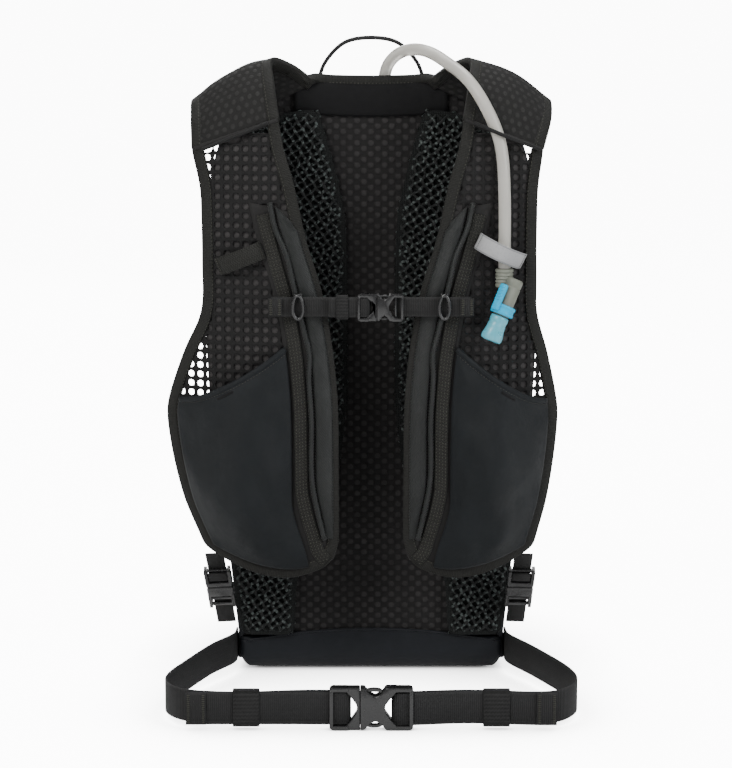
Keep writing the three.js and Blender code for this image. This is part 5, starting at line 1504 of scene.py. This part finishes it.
def keeper_mesh(place, low, high, deep, tall, wall=1.1):
    """An elastic keeper: a soft-edged band round the folded webbing."""
    d, t, r = deep / 2 + wall / 2, tall / 2 + wall / 2, 1.3
    corners = [(-d + r, -t), (d - r, -t), (d, -t + r), (d, t - r), (d - r, t), (-d + r, t), (-d, t - r), (-d, -t + r)]
    middle = (low + high) / 2
    points = [place(middle, y, z) for y, z in corners]
    points = [a.lerp(b, s) for a, b in zip(points, points[1:] + points[:1]) for s in (0, 0.34, 0.67)]
    count = len(points)
    side = (place(1, 0, 0) - place(0, 0, 0)).normalized()
    centre = sum(points, Vector()) / count
    bm = bmesh.new()
    weave = bm.loops.layers.uv.new("weave")
    section = tape_section(high - low, wall)
    columns = len(section)
    bmesh.ops.create_grid(bm, x_segments=columns, y_segments=count, size=0.5)
    where = {v: (round((v.co.x + 0.5) * columns), round((v.co.y + 0.5) * count)) for v in bm.verts}
    for face in bm.faces:
        for loop in face.loops:
            i, j = where[loop.vert]
            loop[weave].uv = (section[i % columns][0] * 1000, j * (2 * (deep + tall) / count))
    for vert, (i, j) in where.items():
        j %= count
        tangent = (points[(j + 1) % count] - points[j - 1]).normalized()
        out = tangent.cross(side)
        if out.dot(points[j] - centre) < 0:
            out = -out
        a, b = section[i % columns]
        vert.co = points[j] + side * a + out * b
    bmesh.ops.remove_doubles(bm, verts=bm.verts, dist=1e-7)
    bmesh.ops.recalc_face_normals(bm, faces=bm.faces)
    return bm


def solid_plate(bm, outline, low, high, edge):
    """Adds a plate with an outline in x, z, from low to high in y, its edges rounded."""
    piece = bmesh.new()
    piece.loops.layers.uv.new("weave")
    face = piece.faces.new([piece.verts.new((x / 1000, low / 1000, z / 1000)) for x, z in outline])
    made = bmesh.ops.extrude_face_region(piece, geom=[face])["geom"]
    moved = [v for v in made if isinstance(v, bmesh.types.BMVert)]
    bmesh.ops.translate(piece, verts=moved, vec=(0, (high - low) / 1000, 0))
    bmesh.ops.recalc_face_normals(piece, faces=piece.faces)
    keen = [e for e in piece.edges if e.calc_face_angle(0) > math.radians(24)]
    bmesh.ops.bevel(piece, geom=keen, offset=edge / 1000, segments=2, profile=0.5, affect="EDGES",
                    clamp_overlap=True, material=-1)
    bmesh.ops.triangulate(piece, faces=[f for f in piece.faces if len(f.verts) > 4])
    return absorb(bm, piece)


def buckle_halves(place, half, height, thick, bar, window, webbing, bodies, nodes):
    """The two halves of a side-release buckle, with bowed windows, a waisted body and sprung arms."""
    h, hole = height / 2, half - 2 * bar - window
    end = -half + 2 * bar + window + 5.1
    face = end + 0.16 * half
    tip = face + 0.55 * half
    inner, t = webbing / 2 + 0.5, thick / 2
    edge = min(1.1, thick * 0.12)

    def ladder(bm, side):
        for s in (-1, 1):
            corners = [(-half, s * inner), (-half, s * (h - 2.2)), (-half + 0.8, s * (h - 0.8)),
                       (-half + 2.4, s * h), (-hole + 1.5, s * h), (-hole + 1.5, s * inner)]
            solid_plate(bm, [(-side * x, z) for x, z in corners], -t + 0.2, t - 1.2, edge)
        for x, front, back in ((-half, -t, -t + 1.7), (-hole - bar, -1.3, 1.3)):
            a, b = sorted((-side * x, -side * (x + bar)))
            absorb(bm, rounded_block((a, front, -inner - 1), (b, back, inner + 1), 0.8))

    def mirrored(top):
        return top + [(x, -z) for x, z in reversed(top) if abs(z) > 0.01]
    male = bmesh.new()
    male.loops.layers.uv.new("weave")
    ladder(male, -1)
    apex = lerp(-hole, face, 0.74)
    head = [(face, 0), (face, h), (-hole - 1, h), (-hole, inner - 0.4), (lerp(-hole, apex, 0.5), inner * 0.62),
            (apex, inner * 0.2), (apex + 0.3, 0)]
    solid_plate(male, mirrored(head[1:-1]), -t + 1.1, t - 1.1, edge)
    arms = []
    for s in (-1, 1):
        arm = [place(x, 0, s * z) for x, z in (
            (face - 1.5, h * 0.66), (lerp(face, tip, 0.3), h * 0.8), (lerp(face, tip, 0.62), h * 0.845),
            (lerp(face, tip, 0.9), h * 0.78), (tip - 0.6, h * 0.6))]
        out = (place(0, -1, 0) - place(0, 0, 0)).normalized()
        swept = sweep_mesh(route(arm, 0.0012), out, tape_section(h * 0.17, thick * 0.36))
        arms.append(bpy.data.meshes.new("arm"))
        swept.to_mesh(arms[-1])
        swept.free()
    absorb(male, rounded_block((face - 2, -t * 0.3, -inner * 0.8), (face + 1.2, t * 0.3, inner * 0.8), 0.3))
    mouth = face + 0.12
    a, b = lerp(mouth, hole, 0.12), lerp(mouth, hole, 0.72)
    right = lerp(mouth, hole, 0.7)
    body = [(mouth, h - 0.3), (a, h - 0.3), (lerp(a, b, 0.2), h * 0.72), (lerp(a, b, 0.5), h * 0.56),
            (lerp(a, b, 0.8), h * 0.72), (b, h - 0.1), (hole + 1, h), (hole, inner - 0.4),
            (lerp(hole, right, 0.5), inner * 0.62), (right, inner * 0.2)]
    female = bmesh.new()
    female.loops.layers.uv.new("weave")
    ladder(female, 1)
    solid_plate(female, mirrored(body), -t, -0.46 * t, edge * 0.8)
    solid_plate(female, mirrored(body), 0.46 * t, t, edge * 0.8)
    core = [(lerp(a, b, 0.62), h * 0.48), (b, h * 0.6), (hole + 0.8, h - 0.8)] + body[-3:]
    solid_plate(female, mirrored(core), -0.5 * t, 0.5 * t, 0.2)
    for bm, body_name, node in ((male, bodies[0], nodes[0]), (female, bodies[1], nodes[1])):
        for vert in bm.verts:
            vert.co = place(*(vert.co * 1000))
        if bm is male:
            for part in arms:
                bm.from_mesh(part)
                bpy.data.meshes.remove(part)
        bmesh.ops.recalc_face_normals(bm, faces=bm.faces)
        finish_piece(node + "_moulding", bm, FINISH["acetal"], body_name, (node,), None, 38)


def sternum_place(x, y, z):
    return at(x, STERNUM_Y + y, STERNUM_HEIGHT + z)


def chest_buckle_place(x, y, z):
    return sternum_place(x + SHIFT, y, z)


def build_sternum(sizes):
    slider_x = wing_inner(STERNUM_HEIGHT) + 20
    tab_end = slider_x + 22.5
    half, bar, window, webbing = 17.5, 2, 3, 15
    # one strap: sewn tab, through the ring, behind the buckle, round its bar and back in front
    fixed = [(-tab_end + 2, LAYER), (-52, LAYER), (-32, LAYER), (SHIFT - half + 7.4, LAYER)]
    main, _, _ = strap_piece("chest_strap_left", fixed, sternum_place, webbing, FINISH["webbing"], None,
                             ("sternum_webbing_left",))
    sternum_place(-38, 0, 0)
    sternum_place(-15, 0, 0)
    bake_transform(main)
    strap_piece("chest_tail", fold_points(half, bar, window, -10.3, -39.5)[2:], chest_buckle_place, webbing,
                FINISH["webbing"], "sternum_male", ("sternum_tail",))
    right = [(SHIFT + half - 4.2, LAYER), (34, LAYER), (52, LAYER), (tab_end - 2, LAYER)]
    strap_piece("chest_strap_right", right, sternum_place, webbing, FINISH["webbing"], "sternum_strap",
                ("sternum_webbing_right",))
    tacks = bmesh.new()
    tacks.loops.layers.uv.new("weave")
    for sign in (-1, 1):
        low, high = sorted((sign * (slider_x + 12.2), sign * tab_end))
        plan = [(low, LAYER - 1.75), ((low + high) / 2, LAYER - 1.8), (high, LAYER - 1.75)]
        strap_piece("chest_tab_" + ("left" if sign < 0 else "right"), plan, sternum_place, 13.4, FINISH["webbing"],
                    "sternum_strap", (), 1.5, 0.002)
        for x in (low + 1.8, high - 1.8):
            bar_tack(tacks, sternum_place(x, LAYER - 2.6, 0), Vector((1, 0, 0)), Vector((0, -1, 0)), 11)
    finish_piece("chest_tacks", tacks, FINISH["thread"], "sternum_strap")
    deep, tall = 2 * LAYER + WEB + 1, 16
    bm = keeper_mesh(chest_buckle_place, -33.5, -24.5, deep, tall)
    finish_piece("chest_keeper", bm, FINISH["elastic"], "sternum_male", ("sternum_keeper",))
    buckle_halves(chest_buckle_place, half, 21, 9, bar, window, webbing, ("sternum_male", "sternum_strap"),
                  ("sternum_buckle_male", "sternum_buckle_female"))
    for side, sign in SIDES:
        bm = bmesh.new()
        bm.loops.layers.uv.new("weave")
        points = [Vector((3.9 * math.cos(math.pi * i / 20), 0, 9.1 * math.sin(math.pi * i / 20))) / 1000
                  for i in range(41)]
        sweep_mesh(points, Vector((0, -1, 0)), round_section(1.3, 10), bm)
        for z in (-8.6, 8.6):
            absorb(bm, rounded_block((-2.2, 0, z - 1.5), (2.2, 6.5, z + 1.5), 0.9))
        absorb(bm, rounded_block((-3, 4.9, -10.1), (3, 6.6, 10.1), 0.7))
        bm.transform(Matrix.Translation(sternum_place(sign * slider_x, LAYER - 3.9, 0)))
        slider = "sternum_slider_" + side
        finish_piece("slider_ring_" + side, bm, FINISH["acetal"], slider, (slider,), None, 45)


def belt_place(x, y, z):
    return at(x, -163 + y, 16.9 + z)


def belt_route(sign):
    start = bag_half_width(28) + 3
    return [(sign * start, 173, 5), (sign * (start + 1.5), 155, 4.5), (sign * lerp(start, 157, 0.42), 118, 3),
            (sign * 153, 62, 1), (sign * 157, 42, 0), (sign * 154, 22, 0), (sign * 141, 6, 0), (sign * 123, LAYER, 0)]


def build_belt(sizes):
    left = [belt_place(*p) for p in belt_route(-1)] + [belt_place(-90, LAYER, 0), belt_place(-50, LAYER, 0),
                                                       belt_place(-18.4, LAYER, 0)]
    right_fold = [(-x, y) for x, y in fold_points(31.5, 3, 7, -70, -139)]
    right = [belt_place(*p) for p in belt_route(1)] + [belt_place(96, LAYER, 0)] + [
        belt_place(x, y, 0) for x, y in right_fold]
    for name, points, node in (("left", left, "belt_webbing_left"), ("right", right, "belt_webbing_right")):
        points = route(points, 0.0032)
        points = [p + Vector((0, 0, 0.0007 * math.sin(p.x * 55 + p.y * 38))) for p in points]
        normals = []
        for i, p in enumerate(points):
            tangent = (points[min(i + 1, len(points) - 1)] - points[max(i - 1, 0)]).normalized()
            normals.append(Vector((0, 0, 1)).cross(tangent).normalized())
        body = None if name == "left" else "root"
        strap = finish_piece("belt_strap_" + name, sweep_mesh(points, normals, tape_section(25, 1.5)), FINISH["belt"],
                             body, (node,))
        if name == "left":
            belt_place(-120, 0, 0)
            belt_place(-70, 0, 0)
            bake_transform(strap)
    strap_piece("belt_tail", fold_points(31.5, 3, 7, -18.5, -139)[2:], belt_place, 25, FINISH["belt"], "belt_male",
                ("belt_tail_left",), 1.5)
    deep, tall = 2 * LAYER + WEB + 1, 26
    for name, low, high in (("left", -104, -84), ("right", 84, 104)):
        finish_piece("belt_band_" + name, keeper_mesh(belt_place, low, high, deep, tall), FINISH["elastic"], "root",
                     ("belt_keeper_" + name,))
    # folded and sewn tail ends
    for sign, body in ((-1, "belt_male"), (1, "root")):
        low, high = sorted((sign * 124, sign * 139.2))
        strap_piece("belt_end_fold_" + ("left" if sign < 0 else "right"),
                    [(low, -LAYER - 1.6), ((low + high) / 2, -LAYER - 1.65), (high, -LAYER - 1.55)], belt_place, 24.6,
                    FINISH["belt"], body, (), 1.4)
        tack = bmesh.new()
        tack.loops.layers.uv.new("weave")
        for x in (low + 2, high - 2):
            bar_tack(tack, belt_place(x, -LAYER - 2.5, 0), Vector((1, 0, 0)), Vector((0, -1, 0)), 21, 15)
        finish_piece("belt_end_tack_" + ("left" if sign < 0 else "right"), tack, FINISH["thread"], body)
    buckle_halves(belt_place, 31.5, 33, 11, 3, 7, 25, ("belt_male", "root"),
                  ("belt_buckle_male", "belt_buckle_female"))
    for side, sign in SIDES:
        low, high = sorted((sign * (bag_half_width(28) - 4), sign * (bag_half_width(28) + 2.4)))
        tab = rounded_block((low, -166 + 173 + 2, 8), (high, -163 + 173 + 20, 29), 1.0)
        tab.transform(Matrix.Translation(at(0, 0, 0)))
        finish_piece("belt_anchor_" + side, tab, FINISH["base"], "root")


def build_adjusters(sizes):
    for side, sign in SIDES:
        corner_x = sign * (wing_outer(0.24 * HEIGHT, sign) - 7)
        start = at(corner_x, wing_y(corner_x, 0.22 * HEIGHT) - 1, 0.222 * HEIGHT)
        end = at(sign * (bag_half_width(0.08 * HEIGHT) + 9.5), -5, 0.085 * HEIGHT)
        down = (end - start).normalized()
        wide = (Vector((1, 0, 0)) - down * down.x).normalized()
        deep = wide.cross(down)
        origin = start + down * 0.036

        def place(x, y, z):
            return origin + (down * x + deep * y + wide * z) / 1000
        # upper strap: sewn to the wing, behind the ladder, round its bar and back up as a folded tail
        behind = [(-40, 1.2), (-32, 2.0), (-22, LAYER), (-11, LAYER)]
        upper, _, _ = strap_piece("adjuster_upper_" + side, behind, place, 14.6, FINISH["webbing"], None)
        place(-37, 0, 0)
        place(-24, 0, 0)
        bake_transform(upper)
        tail = fold_points(22, 2.4, 5, -12, -19.5)[2:]
        strap_piece("adjuster_tail_" + side, tail, place, 14.6, FINISH["webbing"], "adjuster_male_" + side)
        softened("adjuster_male_" + side, FINISH["acetal"], "adjuster_male_" + side, 0.45)
        softened("adjuster_female_" + side, FINISH["acetal"], "root", 0.55)
        far = (end - origin).length * 1000
        lower = [(22 - 4.8, LAYER), (lerp(17, far, 0.5), LAYER), (far, LAYER)]
        strap_piece("adjuster_lower_" + side, lower, place, 14.8,
                    FINISH["webbing"], "root", ("adjuster_strap_" + side,))


# ---------------------------------------------------------------- zip sliders and the inside

def build_zips(sizes):
    for name in ("main_zip", "front_pocket_zip"):
        softened(name + "_slider", FINISH["coil"], name + "_slider", 0.45)
        softened(name + "_pull", FINISH["webbing"], name + "_pull", 0.4)


def build_inside(sizes):
    for node, key in (("reservoir", "film"), ("reservoir_slide_closure", "blue"), ("reservoir_port", "grey"),
                      ("reservoir_sleeve", "lining_and_painted_shade"), ("hose_inner", "hose")):
        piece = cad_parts[node]
        piece.data.materials.clear()
        piece.data.materials.append(FINISH[key].material)


# ---------------------------------------------------------------- panel and operators

class PackSizes(bpy.types.PropertyGroup):
    """What a user would change."""
    hole_pitch: FloatProperty(name="Wing hole spacing", description="Between the holes of the wing mesh, in mm",
                              default=7.3, min=4)
    net_pitch: FloatProperty(name="Pad net spacing", description="Between the holes of the pad netting, in mm",
                             default=5.6, min=3)
    stitch_pitch: FloatProperty(name="Stitch length", description="From one stitch to the next, in mm", default=2.8,
                                min=1)
    key_power: FloatProperty(name="Key light", description="Power of the main light", default=66, min=0, unit="POWER")
    surround: FloatProperty(name="Surround", description="Brightness of the white studio", default=0.3, min=0)
    floor_glow: FloatProperty(name="Floor glow", description="How bright the white floor is where it is seen",
                             default=11.0, min=0)
    floor_colour: FloatVectorProperty(name="Floor", description="Colour of the floor", default=(0.86, 0.86, 0.86),
                                      subtype="COLOR", size=3, min=0, max=1)


class PackPiece:
    """What every pack operator shares."""
    bl_options = {"REGISTER", "UNDO"}

    def execute(self, context):
        type(self).build(context.scene.pack_sizes)
        return {"FINISHED"}


class PACK_OT_stage(PackPiece, bpy.types.Operator):
    """Make the floor, the lights and the camera"""
    bl_idname = "pack.stage"
    bl_label = "Stage"
    build = staticmethod(build_stage)


class PACK_OT_hose(PackPiece, bpy.types.Operator):
    """Make the drinking hose and its bite valve"""
    bl_idname = "pack.hose"
    bl_label = "Hose and bite valve"
    build = staticmethod(build_hose)


class PACK_OT_bag(PackPiece, bpy.types.Operator):
    """Make the bag's shell, its zips and its front pocket"""
    bl_idname = "pack.bag"
    bl_label = "Bag"
    build = staticmethod(build_bag)


class PACK_OT_base(PackPiece, bpy.types.Operator):
    """Make the base and its piping"""
    bl_idname = "pack.base"
    bl_label = "Base"
    build = staticmethod(build_base)


class PACK_OT_back(PackPiece, bpy.types.Operator):
    """Make the back panel, its pads, neck edge and haul loop"""
    bl_idname = "pack.back"
    bl_label = "Back panel and pads"
    build = staticmethod(build_back)


class PACK_OT_wings(PackPiece, bpy.types.Operator):
    """Make the harness wings, their tapes, rails, sleeves and pockets"""
    bl_idname = "pack.wings"
    bl_label = "Harness wings"
    build = staticmethod(build_wings)


class PACK_OT_shoulders(PackPiece, bpy.types.Operator):
    """Make the shoulder pads, their bindings and cords"""
    bl_idname = "pack.shoulders"
    bl_label = "Shoulders"
    build = staticmethod(build_shoulders)


class PACK_OT_loops(PackPiece, bpy.types.Operator):
    """Make the gear loop and the hose loop"""
    bl_idname = "pack.loops"
    bl_label = "Loops"
    build = staticmethod(build_loops)


class PACK_OT_sternum(PackPiece, bpy.types.Operator):
    """Make the chest strap, its buckle, keeper and sliders"""
    bl_idname = "pack.sternum"
    bl_label = "Chest strap"
    build = staticmethod(build_sternum)


class PACK_OT_belt(PackPiece, bpy.types.Operator):
    """Make the hip belt, its buckle and keepers"""
    bl_idname = "pack.belt"
    bl_label = "Hip belt"
    build = staticmethod(build_belt)


class PACK_OT_adjusters(PackPiece, bpy.types.Operator):
    """Make the side adjusters"""
    bl_idname = "pack.adjusters"
    bl_label = "Side adjusters"
    build = staticmethod(build_adjusters)


class PACK_OT_zips(PackPiece, bpy.types.Operator):
    """Make the zip sliders and their pulls"""
    bl_idname = "pack.zips"
    bl_label = "Zip sliders"
    build = staticmethod(build_zips)


class PACK_OT_inside(PackPiece, bpy.types.Operator):
    """Finish the reservoir and what belongs to it"""
    bl_idname = "pack.inside"
    bl_label = "Reservoir"
    build = staticmethod(build_inside)


OPERATORS = (PACK_OT_stage, PACK_OT_hose, PACK_OT_bag, PACK_OT_base, PACK_OT_back, PACK_OT_wings, PACK_OT_shoulders,
             PACK_OT_loops, PACK_OT_sternum, PACK_OT_belt, PACK_OT_adjusters, PACK_OT_zips, PACK_OT_inside)


class PACK_PT_panel(bpy.types.Panel):
    """Lists the pack's sizes and pieces"""
    bl_idname = "PACK_PT_panel"
    bl_label = "Hydration pack"
    bl_space_type = "VIEW_3D"
    bl_region_type = "UI"
    bl_category = "Pack"

    def draw(self, context):
        for name in PackSizes.__annotations__:
            self.layout.prop(context.scene.pack_sizes, name)
        for operator in OPERATORS:
            self.layout.operator(operator.bl_idname)


def register():
    for kind in (PackSizes, *OPERATORS, PACK_PT_panel):
        bpy.utils.register_class(kind)
    bpy.types.Scene.pack_sizes = PointerProperty(type=PackSizes)


def unregister():
    del bpy.types.Scene.pack_sizes
    for kind in (PACK_PT_panel, *reversed(OPERATORS), PackSizes):
        bpy.utils.unregister_class(kind)


FINISH = {}


def main():
    register()
    FINISH.update(make_finishes(bpy.context.scene.pack_sizes))
    for operator in OPERATORS:
        group, name = operator.bl_idname.split(".")
        getattr(getattr(bpy.ops, group), name)()
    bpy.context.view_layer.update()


if __name__ == "__main__":
    main()
